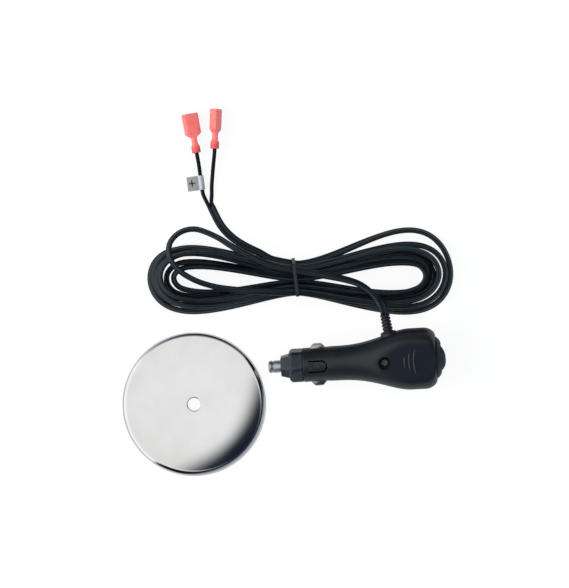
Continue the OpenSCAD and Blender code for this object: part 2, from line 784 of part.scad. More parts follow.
// From the start of the hank to the split of the two conductors
TAIL = [[46, 88.8, 1.4], [40, 92, 1.25], [32, 95.6, 1.25], [25, 99.6, 1.25], [20, 103.8, 1.25],
    [16, 108.6, 1.25], [13, 114, 1.25], [10.4, 119.4, 1.25]];
tail_path = concat([hank_start, hank_start - way_in * cord_w], TAIL);
tail_end = TAIL[len(TAIL) - 1];
tail_way = unit(tail_end - TAIL[len(TAIL) - 2]);
tail_side = cross([0, 0, 1], tail_way);
module cord_tail() {
    color("#1d2024") tube(tail_path, cord_w, cord_t);
}

// Terminals: position of the barrel's rear end, heading from +Y, roll
wire_d = 2.4;
wire_in = 6;
head_rest = 0.1;
function head_depth(roll) = head_w / 2 * abs(sin(roll)) + head_t / 2 * abs(cos(roll)) + head_rest;
POSITIVE = [1.5, 152.2, 10.5, 25];
NEGATIVE = [12.4, 154.7, -2, 70];
function terminal_way(place) = [-sin(place[2]), cos(place[2]), 0];
function terminal_rear(place) = [place[0], place[1], head_depth(place[3])];
module at_terminal(place) {
    translate(terminal_rear(place))
        rotate([0, 0, 90 + place[2]])
            rotate([place[3], 0, 0])
                children();
}
function wire_path(side, route, place) = concat(
    [tail_end + tail_side * side * wire_d / 2, tail_end + tail_side * side * wire_d / 2 + tail_way * wire_d],
    route,
    [for (s = [-wire_d, 0, wire_in]) terminal_rear(place) + terminal_way(place) * s]
);
POSITIVE_ROUTE = [
    [5.6, 126.6, 1.6], [4.8, 130, 1.9], [4.4, 133, 1.9], [4, 136, 1.9], [3.6, 139, 2], [2.8, 145, 3.2]
];
NEGATIVE_ROUTE = [[10.6, 127, 1.4], [10.6, 132, 1.9], [11, 138, 3], [11.6, 145, 4.4]];
module positive_wire() {
    color("#1d2024") tube(wire_path(1, POSITIVE_ROUTE, POSITIVE), wire_d, wire_d);
}

module negative_wire() {
    color("#1d2024") tube(wire_path(-1, NEGATIVE_ROUTE, NEGATIVE), wire_d, wire_d);
}

// Moulded terminal housing: funnel barrel, pinched neck, shoulders and a head open at its mouth
neck_d = 3.6;
neck_len = 4;
shoulder_len = 2;
neck_end = sleeve_len + neck_len;
head_u = neck_end + shoulder_len;
sleeve_end_u = head_u + head_len;
sleeve_bore = 2.8;
funnel_edge = 0.4;
function shoulder_outline(size) = [
    [neck_end, neck_d / 2], [head_u, size / 2], [sleeve_end_u, size / 2],
    [sleeve_end_u, -size / 2], [head_u, -size / 2], [neck_end, -neck_d / 2]
];

// Rectangle about the origin with cut corners
module chamfered(w, h, c) {
    polygon([
        [w / 2, h / 2 - c], [w / 2 - c, h / 2], [c - w / 2, h / 2], [-w / 2, h / 2 - c],
        [-w / 2, c - h / 2], [c - w / 2, -h / 2], [w / 2 - c, -h / 2], [w / 2, c - h / 2]
    ]);
}

module sleeve() {
    corner = 1;
    r = sleeve_d / 2;
    difference() {
        union() {
            rotate([0, 90, 0]) rotate_extrude() polygon([
                [0, 0], [r - funnel_edge / 2, 0], [r, funnel_edge], [r, sleeve_len * 0.7],
                [neck_d / 2, sleeve_len + funnel_edge], [neck_d / 2, head_u], [0, head_u]
            ]);
            intersection() {
                linear_extrude(height = 2 * head_t, center = true) polygon(shoulder_outline(head_w));
                rotate([90, 0, 0]) linear_extrude(height = 2 * head_w, center = true)
                    polygon(shoulder_outline(head_t));
                rotate([90, 0, 90]) linear_extrude(height = sleeve_end_u) chamfered(head_w, head_t, corner);
            }
        }
        translate([head_u, -head_w / 2 + head_wall, -head_t / 2 + head_wall])
            cube([head_len + cut_over, head_w - 2 * head_wall, head_t - 2 * head_wall]);
        translate([-cut_over, 0, 0]) rotate([0, 90, 0]) cylinder(h = head_u + 2 * cut_over, d = sleeve_bore);
    }
}

module positive_sleeve() {
    color("#f07468") at_terminal(POSITIVE) sleeve();
}

module negative_sleeve() {
    color("#f07468") at_terminal(NEGATIVE) sleeve();
}

// Rolled receptacle: flat floor, two curled edges, and a crimp barrel on the wire
tab_w = 6.4;
tab_t = 0.8;
metal_t = 0.4;
module receptacle() {
    curl_r = tab_t + 0.35;
    curl_y = tab_w / 2 - 0.4;
    length = 7.8;
    start = head_u + 1;
    floor_h = -head_t / 2 + head_wall + seat_gap;
    translate([start, 0, floor_h]) {
        translate([0, -curl_y, 0]) cube([length, 2 * curl_y, metal_t]);
        for (side = [-1, 1])
            translate([0, side * curl_y, curl_r]) rotate([90, 0, 90]) difference() {
                cylinder(h = length, r = curl_r);
                translate([0, 0, -cut_over]) cylinder(h = length + 2 * cut_over, r = curl_r - metal_t);
                translate([side > 0 ? -2 * curl_r : 0, -curl_r + metal_t, -cut_over])
                    cube([2 * curl_r, curl_r * 0.9, length + 2 * cut_over]);
            }
    }
    difference() {
        union() {
            translate([wire_in + seat_gap, 0, 0]) rotate([0, 90, 0])
                cylinder(h = start - wire_in + 1, d = sleeve_bore - 2 * seat_gap);
            translate([start, -0.8, floor_h]) cube([1, 1.6, -floor_h]);
        }
        translate([start - 0.6, 0, 0]) rotate([0, 90, 0]) cylinder(h = 3, d = sleeve_bore - 1);
    }
}

module positive_receptacle() {
    color("#d0b070") at_terminal(POSITIVE) receptacle();
}

module negative_receptacle() {
    color("#d0b070") at_terminal(NEGATIVE) receptacle();
}

// Label wrapped round the positive wire, its flag leaning to the table
flag_t = 0.5;
flag_lean = 8;
wrap_bore = wire_d + 0.4;
wrap_d = wrap_bore + 2 * flag_t;
module polarity_flag() {
    mid = [4.24, 134.2, 1.95];
    color("#9a9a95") translate(mid) rotate([0, 0, 97.6]) rotate([-flag_lean, 0, 0]) difference() {
        union() {
            translate([-flag_len / 2, 0, 0]) rotate([0, 90, 0]) cylinder(h = flag_len, d = wrap_d);
            translate([-flag_len / 2, 0, -flag_t / 2]) cube([flag_len, flag_w, flag_t]);
        }
        translate([-flag_len, 0, 0]) rotate([0, 90, 0]) cylinder(h = 2 * flag_len, d = wrap_bore);
    }
}

// Tie drawn round the waist of the hank and the lead on top of it
tie_slant = 7;
tie_gap = 0.4;
tie_side_gap = 0.8;
tie_turn_z = 5;
tie_top = lead_waist[2] + cord_t / 2 + tie_gap;
tie_high = waist_y - waist_step * rank(-0.25) + cord_w / 2 + tie_side_gap;
tie_low = -(waist_y - waist_step * 0.25 + cord_w / 2 + tie_side_gap);
module tie_outline(grow) {
    polygon([
        [tie_low - grow, waist_lift - tie_gap - grow], [tie_high + grow, waist_lift - tie_gap - grow],
        [tie_high + grow, tie_turn_z + grow / 2],
        [lead_waist[1] - hank_y + cord_w / 2 + 2 * tie_gap + grow, tie_top + grow],
        [tie_low - grow, tie_top + grow]
    ]);
}

module hank_tie() {
    color("#24272b") translate([hank_x - 2, hank_y, 0]) rotate([0, 0, tie_slant])
        rotate([90, 0, 90]) linear_extrude(height = tie_w) difference() {
            tie_outline(tie_t);
            tie_outline(0);
        }
}

// Pressed plate: flat land, crown and a turned-down rim, one sheet thick
module steel_plate() {
    r = plate_d / 2;
    shelf = plate_h - crown_h - rim_r;
    arc_steps = 10;
    function rim(radius) = [
        for (i = [0 : arc_steps])
            let (a = 90 - 90 * i / arc_steps)
            [r - rim_r + radius * cos(a), shelf + radius * sin(a)]
    ];
    function crown(lift) = [
        for (i = [0 : arc_steps])
            let (s = i / arc_steps)
            [land_d / 2 + (r - rim_r - land_d / 2) * s, plate_h - lift - crown_h * s * s]
    ];
    inner = rim(rim_r - plate_t);
    under = crown(plate_t);
    color("#d9dde2") difference() {
        rotate_extrude() polygon(concat(
            [[0, plate_h]], crown(0), rim(rim_r), [[r, 0], [r - plate_t, 0]],
            [for (i = [arc_steps : -1 : 0]) inner[i]], [for (i = [arc_steps : -1 : 0]) under[i]],
            [[0, plate_h - plate_t]]
        ));
        translate([0, 0, -cut_over]) cylinder(h = plate_h + 2 * cut_over, d = hole_d);
    }
}

upper_shell();
lower_shell();
nose_cap();
center_tip();
fuse_tube();
fuse_caps();
fuse_element();
tip_spring();
spring_seat();
side_contact_left();
side_contact_right();
housing_screw();
strain_relief();
switch_body();
switch_rocker();
switch_blades();
inner_leads();
cord_lead();
cord_hank();
cord_tail();
positive_wire();
negative_wire();
positive_sleeve();
negative_sleeve();
positive_receptacle();
negative_receptacle();
polarity_flag();
hank_tie();
steel_plate();
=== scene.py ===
"""Looks of a vehicle power lead: 12 V plug, hank of flat twin cord, two terminals and a loose steel plate."""

import json
from collections import namedtuple
from math import asin, copysign, cos, exp, hypot, pi, radians, sin, sqrt, tan

import bmesh
import bpy
from mathutils import Matrix, Vector


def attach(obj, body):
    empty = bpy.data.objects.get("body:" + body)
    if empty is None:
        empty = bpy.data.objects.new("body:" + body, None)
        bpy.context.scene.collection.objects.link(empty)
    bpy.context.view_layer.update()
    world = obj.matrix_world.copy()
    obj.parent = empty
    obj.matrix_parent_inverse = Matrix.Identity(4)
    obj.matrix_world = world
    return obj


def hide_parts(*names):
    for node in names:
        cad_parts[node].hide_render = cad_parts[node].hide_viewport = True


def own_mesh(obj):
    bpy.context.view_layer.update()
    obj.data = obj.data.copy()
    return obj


MM = 0.001
TINY = 1e-9
UP = Vector((0, 0, 1))

scene = bpy.context.scene
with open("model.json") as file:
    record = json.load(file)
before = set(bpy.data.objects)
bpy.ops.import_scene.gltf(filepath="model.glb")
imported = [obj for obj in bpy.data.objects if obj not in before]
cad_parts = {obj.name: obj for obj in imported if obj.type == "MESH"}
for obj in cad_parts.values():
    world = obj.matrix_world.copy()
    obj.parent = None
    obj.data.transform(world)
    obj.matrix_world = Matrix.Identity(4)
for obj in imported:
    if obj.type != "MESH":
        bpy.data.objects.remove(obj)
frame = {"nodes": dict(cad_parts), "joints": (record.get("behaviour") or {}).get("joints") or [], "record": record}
nodes = frame["nodes"]
joints = {joint["name"]: joint for joint in frame["joints"]}
mounts = {mount["name"]: mount for mount in frame["record"]["mounts"]}
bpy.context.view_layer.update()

# The plug's own frame: u from the tip backwards, v to its left, w up
ALONG = Vector(joints["tip_push"]["axis"])
LEFT = Vector(joints["contact_right_press"]["axis"])
UPWARD = ALONG.cross(LEFT)
TIP = Vector(mounts["tip_face"]["pos_m"])
IN_PLUG = Matrix.Translation(TIP) @ Matrix((ALONG, LEFT, UPWARD)).transposed().to_4x4()
U_TO_W = Matrix.Rotation(radians(-90), 4, "Y")

# Turned profiles start this far from their axis, in millimetres
AXIS_R = 0.05

# The most of an edge that a rounded corner takes
CORNER_SHARE = 0.45


# Mesh building, in millimetres

def skin(rings, loop=False):
    """A bmesh over rings of points, closed at both ends; loop joins the last ring to the first instead."""
    form = bmesh.new()
    rows = [[form.verts.new(point) for point in ring] for ring in rings]
    following = rows[1:] + rows[:1] if loop else rows[1:]
    for here, there in zip(rows, following):
        for j in range(len(here)):
            k = (j + 1) % len(here)
            form.faces.new((here[j], here[k], there[k], there[j]))
    if not loop:
        form.faces.new(rows[0])
        form.faces.new(rows[-1])
    return form


def circle(radius, count):
    angles = [2 * pi * j / count for j in range(count)]
    return [(radius * cos(a), radius * sin(a)) for a in angles]


def turned(profile, segments=64, loop=False, place=Matrix()):
    """A bmesh of revolution about u from (u, radius) points; a closed profile makes a ring."""
    form = skin([[(u, *point) for point in circle(r, segments)] for u, r in profile], loop=loop)
    form.transform(place)
    return form


def block(low, high):
    corners = [(low[1], low[2]), (high[1], low[2]), (high[1], high[2]), (low[1], high[2])]
    return skin([[(u, v, w) for v, w in corners] for u in (low[0], high[0])])


def mirrored(half):
    """The points of one half and, before them, their mirror image."""
    return [(-a, b) for a, b in reversed(half)] + list(half)


def smooth_path(points, spacing):
    """Points about a spacing apart on a centripetal spline through given points."""
    points = [Vector(p) for p in points]
    ends = [2 * points[0] - points[1]] + points + [2 * points[-1] - points[-2]]
    path = []
    for i in range(1, len(ends) - 2):
        p, t = ends[i - 1:i + 3], [0.0]
        for a, b in zip(p, p[1:]):
            t.append(t[-1] + sqrt((b - a).length))
        steps = max(1, round((p[2] - p[1]).length / spacing))
        for k in range(steps):
            s = t[1] + (t[2] - t[1]) * k / steps
            a = [p[j].lerp(p[j + 1], (s - t[j]) / (t[j + 1] - t[j])) for j in range(3)]
            b = [a[j].lerp(a[j + 1], (s - t[j]) / (t[j + 2] - t[j])) for j in range(2)]
            path.append(b[0].lerp(b[1], (s - t[1]) / (t[2] - t[1])))
    path.append(points[-1])
    return path


def rounded(points, radius, steps=6):
    """Corners of a line of points turned into small curves; a closed line repeats its first point."""
    points = [Vector(p) for p in points]
    closed = (points[0] - points[-1]).length < TINY
    if closed:
        points = points[:-1]
    path = []
    for i, point in enumerate(points):
        if not closed and i in (0, len(points) - 1):
            path.append(point)
            continue
        before = points[i - 1] - point
        after = points[(i + 1) % len(points)] - point
        a = point + before.normalized() * min(radius, before.length * CORNER_SHARE)
        b = point + after.normalized() * min(radius, after.length * CORNER_SHARE)
        for k in range(steps + 1):
            t = k / steps
            path.append(a * (1 - t) ** 2 + point * 2 * t * (1 - t) + b * t ** 2)
    return path


def sweep(path, section, upright=UP, loop=False, rolls=None):
    """A bmesh of a section of (side, up) points along a path; rolls turn the section about the path."""
    ends = [path[-1], *path, path[0]] if loop else [path[0], *path, path[-1]]
    rings = []
    for i, point in enumerate(path):
        way = (ends[i + 2] - ends[i]).normalized()
        side = upright.cross(way).normalized()
        up = way.cross(side)
        if rolls:
            cosine, sine = cos(rolls[i]), sin(rolls[i])
            side, up = side * cosine + up * sine, up * cosine - side * sine
        rings.append([point + side * s + up * h for s, h in section])
    return skin(rings, loop=loop)


def soft_box(width, thick, edge, steps=4):
    """Section of a strip: a rectangle with rounded corners."""
    section = []
    for corner, (side, up) in enumerate(((1, 1), (-1, 1), (-1, -1), (1, -1))):
        for k in range(steps + 1):
            a = radians(90 * (corner + k / steps))
            across = side * (width / 2 - edge) + edge * cos(a)
            height = up * (thick / 2 - edge) + edge * sin(a)
            section.append((across, height))
    return section


def path_length(path):
    return sum((b - a).length for a, b in zip(path, path[1:]))


def placed(name, data):
    """A new object in the scene."""
    thing = bpy.data.objects.new(name, data)
    scene.collection.objects.link(thing)
    return thing


def blank(name, form):
    """An object in millimetres that can still be carved."""
    bmesh.ops.recalc_face_normals(form, faces=form.faces)
    mesh = bpy.data.meshes.new(name)
    form.to_mesh(mesh)
    form.free()
    return placed(name, mesh)


def carve(piece, form, operation="DIFFERENCE"):
    """Cuts a bmesh out of a piece, or adds it to the piece."""
    cutter = blank("cutter", form)
    modifier = piece.modifiers.new("carve", "BOOLEAN")
    modifier.operation = operation
    modifier.solver = "EXACT"
    modifier.object = cutter
    seen = piece.evaluated_get(bpy.context.evaluated_depsgraph_get())
    carved = bpy.data.meshes.new_from_object(seen)
    piece.modifiers.clear()
    piece.data = carved
    bpy.data.objects.remove(cutter)


def join(piece, form):
    """Adds the faces of a bmesh to a piece."""
    extra = blank("extra", form)
    both = bmesh.new()
    both.from_mesh(piece.data)
    both.from_mesh(extra.data)
    both.to_mesh(piece.data)
    both.free()
    bpy.data.objects.remove(extra)


def settle(piece, place=Matrix(), sharp_deg=35.0):
    """Puts a piece in its place in metres, smooth apart from its sharp edges."""
    mesh = piece.data
    mesh.transform(place @ Matrix.Scale(MM, 4))
    for polygon in mesh.polygons:
        polygon.use_smooth = True
    mesh.set_sharp_from_angle(angle=radians(sharp_deg))
    return piece


def dress(piece, material, body, slot, *replaced):
    """Gives a piece its material and the body that it moves with, and hides the solids that it stands for."""
    piece.data.materials.clear()
    piece.data.materials.append(material)
    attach(piece, body)
    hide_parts(*replaced)


# Materials

PATCH_DETAIL, PATCH_DARK, PATCH_LIGHT = 5, 0.3, 0.7
GRAIN_DETAIL, GRAIN_STRENGTH = 2, 0.6
# Painted shade on the thumb pad and painted highlight on its ribs: band round the pad's height, where each tone
# starts, and the shine off and on the pad
PAD_BAND_MM, PAD_SHADE_START, PAD_SHADE_END, RIB_HIGHLIGHT_START = 0.8, 0.48, 0.53, 0.65
OPEN_SHINE, PAD_SHINE = 0.5, 0.19


def feed(tree, socket, value):
    """Gives a socket its value, or links it to an output, for a node its first one."""
    if isinstance(value, bpy.types.Node):
        value = value.outputs[0]
    if isinstance(value, bpy.types.NodeSocket):
        tree.links.new(value, socket)
    else:
        socket.default_value = value


def node(tree, kind, settings, *values, **named):
    """A new shader node, with its settings, its first sockets in order, and others by their names."""
    made = tree.nodes.new("ShaderNode" + kind)
    for setting, value in settings.items():
        setattr(made, setting, value)
    for socket, value in zip(made.inputs, values):
        feed(tree, socket, value)
    for name, value in named.items():
        feed(tree, made.inputs[name.replace("_", " ")], value)
    return made


def ramp(tree, value, stops):
    """Colours that follow a value from stop to stop; a stop is a position and a colour."""
    colours = node(tree, "ValToRGB", {}, value)
    elements = colours.color_ramp.elements
    elements.remove(elements[-1])
    elements[0].position, elements[0].color = stops[0]
    for position, colour in stops[1:]:
        elements.new(position).color = colour
    return colours


def along(tree, place, way):
    """How far a place lies along a direction."""
    return node(tree, "VectorMath", {"operation": "DOT_PRODUCT"}, place, way).outputs["Value"]


def shader(name, dark, light, patch_mm, roughness, grain_mm, grain_depth_mm, **sockets):
    """A procedural material: mottled colour, uneven gloss and a fine grain in the surface."""
    material = bpy.data.materials.new(name)
    material.use_nodes = True
    tree = material.node_tree
    place = node(tree, "TexCoord", {}).outputs["Object"]
    patches = node(tree, "TexNoise", {}, place, Scale=1 / (patch_mm * MM), Detail=PATCH_DETAIL)
    colours = ramp(tree, patches, [(PATCH_DARK, (*dark, 1)), (PATCH_LIGHT, (*light, 1))])
    gloss = node(tree, "MapRange", {}, patches, To_Min=roughness[0], To_Max=roughness[1])
    grain = node(tree, "TexNoise", {}, place, Scale=1 / (grain_mm * MM), Detail=GRAIN_DETAIL)
    bump = node(tree, "Bump", {}, Height=grain, Distance=grain_depth_mm * MM, Strength=GRAIN_STRENGTH)
    sockets.update(Base_Color=colours, Roughness=gloss, Normal=bump)
    for socket, value in sockets.items():
        feed(tree, tree.nodes["Principled BSDF"].inputs[socket.replace("_", " ")], value)
    return material


def paint_over(material, share, colour):
    """Lays another colour over a material's own."""
    tree = material.node_tree
    base = tree.nodes["Principled BSDF"].inputs["Base Color"]
    own = base.links[0].from_socket
    paint = node(tree, "Mix", {"data_type": "RGBA"}, Factor=share, A=own, B=colour)
    tree.links.new(paint.outputs["Result"], base)


def paint_pad_shade_and_rib_highlight(material, height_mm, pad, rib):
    """Painted shade, a dull blue-black, on the thumb pad at a height over the plug's axis, and a lighter painted
    highlight on its ribs.
    """
    tree = material.node_tree
    rise = along(tree, node(tree, "TexCoord", {}).outputs["Object"], UPWARD)
    level = TIP.dot(UPWARD) + height_mm * MM
    reach = node(tree, "MapRange", {}, rise, level - PAD_BAND_MM * MM, level + PAD_BAND_MM * MM)
    # Painted shade at the pad's height, painted highlight on the ribs that rise above it
    stops = [(0, (*pad, 0)), (PAD_SHADE_START, (*pad, 1)), (PAD_SHADE_END, (*pad, 1)), (RIB_HIGHLIGHT_START, (*rib, 1))]
    tones = ramp(tree, reach, stops)
    cover = tones.outputs["Alpha"]
    paint_over(material, cover, tones)
    shine = node(tree, "MapRange", {}, cover, To_Min=OPEN_SHINE, To_Max=PAD_SHINE)
    feed(tree, tree.nodes["Principled BSDF"].inputs["Specular IOR Level"], shine)


def tone_marked(material, mark, colour):
    """Another colour where the mesh carries a mark."""
    where = node(material.node_tree, "Attribute", {"attribute_name": mark})
    paint_over(material, where.outputs["Fac"], (*colour, 1))


def metal(*looks):
    return shader(*looks, Metallic=1.0)


SHELL = shader("shell_plastic", (0.0055, 0.008, 0.0105), (0.0085, 0.0112, 0.014), 6, (0.34, 0.44), 0.16, 0.02)
CAP = shader("cap_plastic", (0.007, 0.0115, 0.016), (0.021, 0.027, 0.032), 3, (0.2, 0.3), 0.16, 0.02,
             Specular_Tint=(0.88, 0.96, 1.0, 1.0))
RUBBER = shader("relief_rubber", (0.006, 0.007, 0.009), (0.01, 0.011, 0.014), 3, (0.4, 0.55), 0.2, 0.03)
# The bezel is darker than the housing so that it reads as the shaded gap round the rocker: painted shade
SWITCH = shader("switch_plastic", (0.003, 0.006, 0.0095), (0.005, 0.009, 0.013), 3, (0.36, 0.46), 0.12, 0.01,
                Specular_IOR_Level=0.25)
# The rocker is lighter and bluer than the housing, standing for the light it catches from the right: painted light
ROCKER = shader("rocker_plastic", (0.016, 0.025, 0.033), (0.024, 0.035, 0.044), 3, (0.35, 0.45), 0.12, 0.01)
JACKET = shader("cord_jacket", (0.003, 0.0055, 0.0082), (0.005, 0.0082, 0.0115), 5, (0.3, 0.42), 0.3, 0.02,
                Specular_Tint=(0.74, 0.92, 1.0, 1.0))
# Painted shade: the split wires wear a darker copy of the cord's jacket, with a lower specular level
WIRE = shader("shaded_wire_jacket", (0.002, 0.0035, 0.0055), (0.0035, 0.0055, 0.008), 5, (0.3, 0.42), 0.3, 0.02,
              Specular_IOR_Level=0.25, Specular_Tint=(0.6, 0.86, 1.0, 1.0))
TIE = shader("tie_plastic", (0.008, 0.0105, 0.013), (0.013, 0.016, 0.019), 2, (0.35, 0.5), 0.2, 0.01)
NYLON = shader("terminal_nylon", (0.98, 0.17, 0.145), (1.0, 0.23, 0.2), 3, (0.3, 0.42), 0.25, 0.02,
               Subsurface_Weight=0.15, Subsurface_Scale=0.002)
# Darker red over the rear end of each terminal's barrel, where the mesh is marked
tone_marked(NYLON, "crimp", (0.66, 0.09, 0.085))
FLAG = shader("flag_label", (0.22, 0.222, 0.215), (0.28, 0.282, 0.274), 2, (0.3, 0.42), 0.15, 0.01)
FOIL = shader("flag_foil", (0.5, 0.52, 0.55), (0.62, 0.64, 0.67), 1, (0.3, 0.42), 0.3, 0.01, Metallic=0.6)
INK = shader("flag_mark", (0.012, 0.012, 0.013), (0.02, 0.02, 0.021), 0.6, (0.45, 0.6), 0.1, 0.005)
NICKEL = metal("tip_metal", (0.4, 0.405, 0.41), (0.52, 0.525, 0.53), 1.5, (0.3, 0.42), 0.12, 0.004)
SPRINGY = metal("contact_metal", (0.34, 0.35, 0.36), (0.46, 0.47, 0.48), 1.5, (0.2, 0.32), 0.15, 0.004)
STEEL = metal("plate_steel", (0.77, 0.76, 0.745), (0.82, 0.81, 0.795), 14, (0.05, 0.085), 0.35, 0.004)
BRASS = metal("terminal_brass", (0.5, 0.36, 0.14), (0.66, 0.5, 0.22), 1, (0.25, 0.4), 0.12, 0.005)
# Dark screw steel with small light patches that stand for glints: painted highlights
SCREW = shader("screw_steel", (0.03, 0.033, 0.038), (0.2, 0.21, 0.22), 0.9, (0.28, 0.42), 0.1, 0.006,
               Metallic=0.9)
SPRING = metal("spring_steel", (0.5, 0.5, 0.5), (0.62, 0.62, 0.62), 0.8, (0.2, 0.35), 0.1, 0.004)
LEADS = shader("lead_insulation", (0.22, 0.018, 0.018), (0.3, 0.03, 0.028), 1.5, (0.35, 0.5), 0.2, 0.01)
GLASS = shader("fuse_glass", (0.9, 0.94, 0.94), (0.95, 0.98, 0.98), 4, (0.02, 0.06), 0.5, 0.001,
               Transmission_Weight=1.0, IOR=1.5)

# Cord routes, in millimetres on the table

CORD_W, CORD_T, CORD_GROOVE = 5.0, 2.5, 0.55
WIRE_D, WIRE_IN, WIRE_STEPS = 2.4, 6.0, 20
HANK_X, HANK_Y = 62.5, 75.0
DRAW, DRAW_HALF, DRAW_REACH = 1.02, 2.4, 26.0
HANK_TURNS, RANKS = 6.5, 3
HANK_REACH, REACH_STEP, REACH_DRAW = 92.7, 7.0, 0.3
LEFT_BELLY, RIGHT_BELLY, BELLY_STEP, BELLY_DRAW = 49.0, 46.6, 17.0, 0.2
LEFT_LIFT, RIGHT_LIFT = 2.0, 3.5
WAIST_Y, WAIST_STEP, WAIST_LIFT, WAIST_FADE = 9.4, 5.6, 1.3, 2.5
OPENING_POWER = 1.5
LAYER_H = 3.2
CLIMBS, CLIMB_TURNS = (1.75, 3.25, 4.75, 6.25), 0.3
FIRST_TURN, FIRST_RISE = 0.25, 5.0
RINGS_PER_TURN = 400
HANK_SPACING, LEAD_SPACING, WIRE_SPACING = 2.0, 2.5, 1.2
LEAST_BEND, BEND_EASE, BEND_PASSES = 9.0, 0.25, 160
TAIL_LEAN = radians(9)
WAY_IN = Vector((cos(TAIL_LEAN), -sin(TAIL_LEAN), 0))
WAY_OUT = Vector((-1, 0, 0))
LOOP_ROLL, WAIST_ROLL = radians(66), radians(36)
ROLL_RATE, ROLL_HOLD, STAND_RATE = 2.0, 0.2, 2.5
FLAT_START = 16.0

LEAD = [
    (45, 67.6, 15.8), (34, 68.4, 15.8), (22, 69.6, 15.6), (11, 71.6, 15.4), (0, 75.4, 15.4),
    (-9.6, 81.6, 15.4), (-14.6, 89, 15.2), (-14.6, 97, 14.2), (-9, 103.6, 11.6), (0, 106, 10),
    (13, 101.6, 11.4), (24, 95, 13.8), (36, 88.8, 14.8), (48, 84.4, 15.4), (62, 82, 15.4),
    (76, 79.4, 15.4), (90, 76, 15.6), (101, 72, 16.1), (108.6, 66, 16.8),
]
TAIL = [
    (46, 88.8, 1.4), (40, 92, 1.25), (32, 95.6, 1.25), (25, 99.6, 1.25), (20, 103.8, 1.25),
    (16, 108.6, 1.25), (13, 114, 1.25), (10.4, 119.4, 1.25),
]
POSITIVE_ROUTE = [
    (5.6, 126.6, 1.6), (4.8, 130, 1.9), (4.4, 133, 1.9), (4, 136, 1.9), (3.6, 139, 2), (2.8, 145, 3.2),
]
NEGATIVE_ROUTE = [(10.6, 127, 1.4), (10.6, 132, 1.9), (11, 138, 3), (11.6, 145, 4.4)]


def rank(s):
    """Place of a turn in its layer: outermost, inwards, and out again in the next layer."""
    return s if s < 0 else RANKS / 2 - abs(s % RANKS - RANKS / 2)


def hank_point(t):
    """Centre of the cord after t turns of the hank."""
    r = rank(t - FIRST_TURN)
    angle = radians(90 - 360 * t)
    c = cos(angle)
    layer = sum(min(1, max(0, (t - climb) / CLIMB_TURNS + 0.5)) for climb in CLIMBS)
    opening = abs(c) ** OPENING_POWER
    waist = WAIST_Y - WAIST_STEP * r
    belly = (RIGHT_BELLY if c > 0 else LEFT_BELLY) - BELLY_STEP * (r + BELLY_DRAW * layer)
    lift = RIGHT_LIFT if c > 0 else LEFT_LIFT
    rise = FIRST_RISE * sin(radians(180 * t / FIRST_TURN)) ** 2 if t < FIRST_TURN else 0
    return Vector((
        HANK_X + (HANK_REACH - REACH_STEP * (r + REACH_DRAW * layer)) * c,
        HANK_Y + sin(angle) * (waist + (belly - waist) * opening) + lift * opening + rise,
        CORD_T / 2 + LAYER_H * layer + WAIST_LIFT * max(0, 1 - WAIST_FADE * abs(c)),
    ))


RELIEF_U, RELIEF_V, RELIEF_LEN = 73.5, 17.38, 10.5
RELIEF_LEAN = radians(8)
RELIEF_OUT = Vector((-sin(RELIEF_LEAN), cos(RELIEF_LEAN), 0))
RELIEF_ACROSS = Vector((cos(RELIEF_LEAN), sin(RELIEF_LEAN), 0))


def on_table(point):
    """A point of the plug's frame, in millimetres on the table."""
    return (IN_PLUG @ (Vector(point) * MM)) / MM


def smooth_step(s):
    s = min(1, max(0, s))
    return s * s * (3 - 2 * s)


def eased(path, spacing, least_bend):
    """A path at an even spacing, with its tight bends drawn open to about a least radius."""
    even, ahead = [path[0]], spacing
    for a, b in zip(path, path[1:]):
        step = (b - a).length
        while ahead <= step:
            even.append(a.lerp(b, ahead / step))
            ahead += spacing
        ahead -= step
    even.append(path[-1])
    for _ in range(BEND_PASSES):
        moved = list(even)
        for i in range(1, len(even) - 1):
            pull = (even[i - 1] + even[i + 1]) / 2 - even[i]
            radius = spacing ** 2 / (2 * max(pull.length, TINY))
            if radius < least_bend:
                moved[i] = even[i] + pull * smooth_step((least_bend - radius) / (BEND_EASE * least_bend))
        even = moved
    return even


def on_edge(path, flat_start, flat_end):
    """Path and rolls of cord that stands on its edge in the loops and lies flat towards its ends."""
    points, rolls = [], []
    total, gone = path_length(path), 0.0
    for i, point in enumerate(path):
        gone += (point - path[i - 1]).length if i else 0.0
        spread = abs(point.x - HANK_X) / HANK_REACH
        ends = smooth_step(gone / flat_start) * smooth_step((total - gone) / flat_end)
        roll = (WAIST_ROLL + (LOOP_ROLL - WAIST_ROLL) * smooth_step(ROLL_RATE * spread - ROLL_HOLD)) * ends
        stand = (CORD_W - CORD_T) / 2 * sin(roll)
        lift = max(stand * min(1, STAND_RATE * spread), stand + CORD_T / 2 - point.z)
        points.append(point + UP * lift)
        rolls.append(roll)
    return points, rolls


def drawn_in(point):
    """A point of the route, with the two bunches drawn together under the tie."""
    near = exp(-((point.x - HANK_X) / DRAW_REACH) ** 2)
    side = max(-1, min(1, (point.y - HANK_Y) / DRAW_HALF))
    return point - Vector((0, DRAW * side * near, 0))


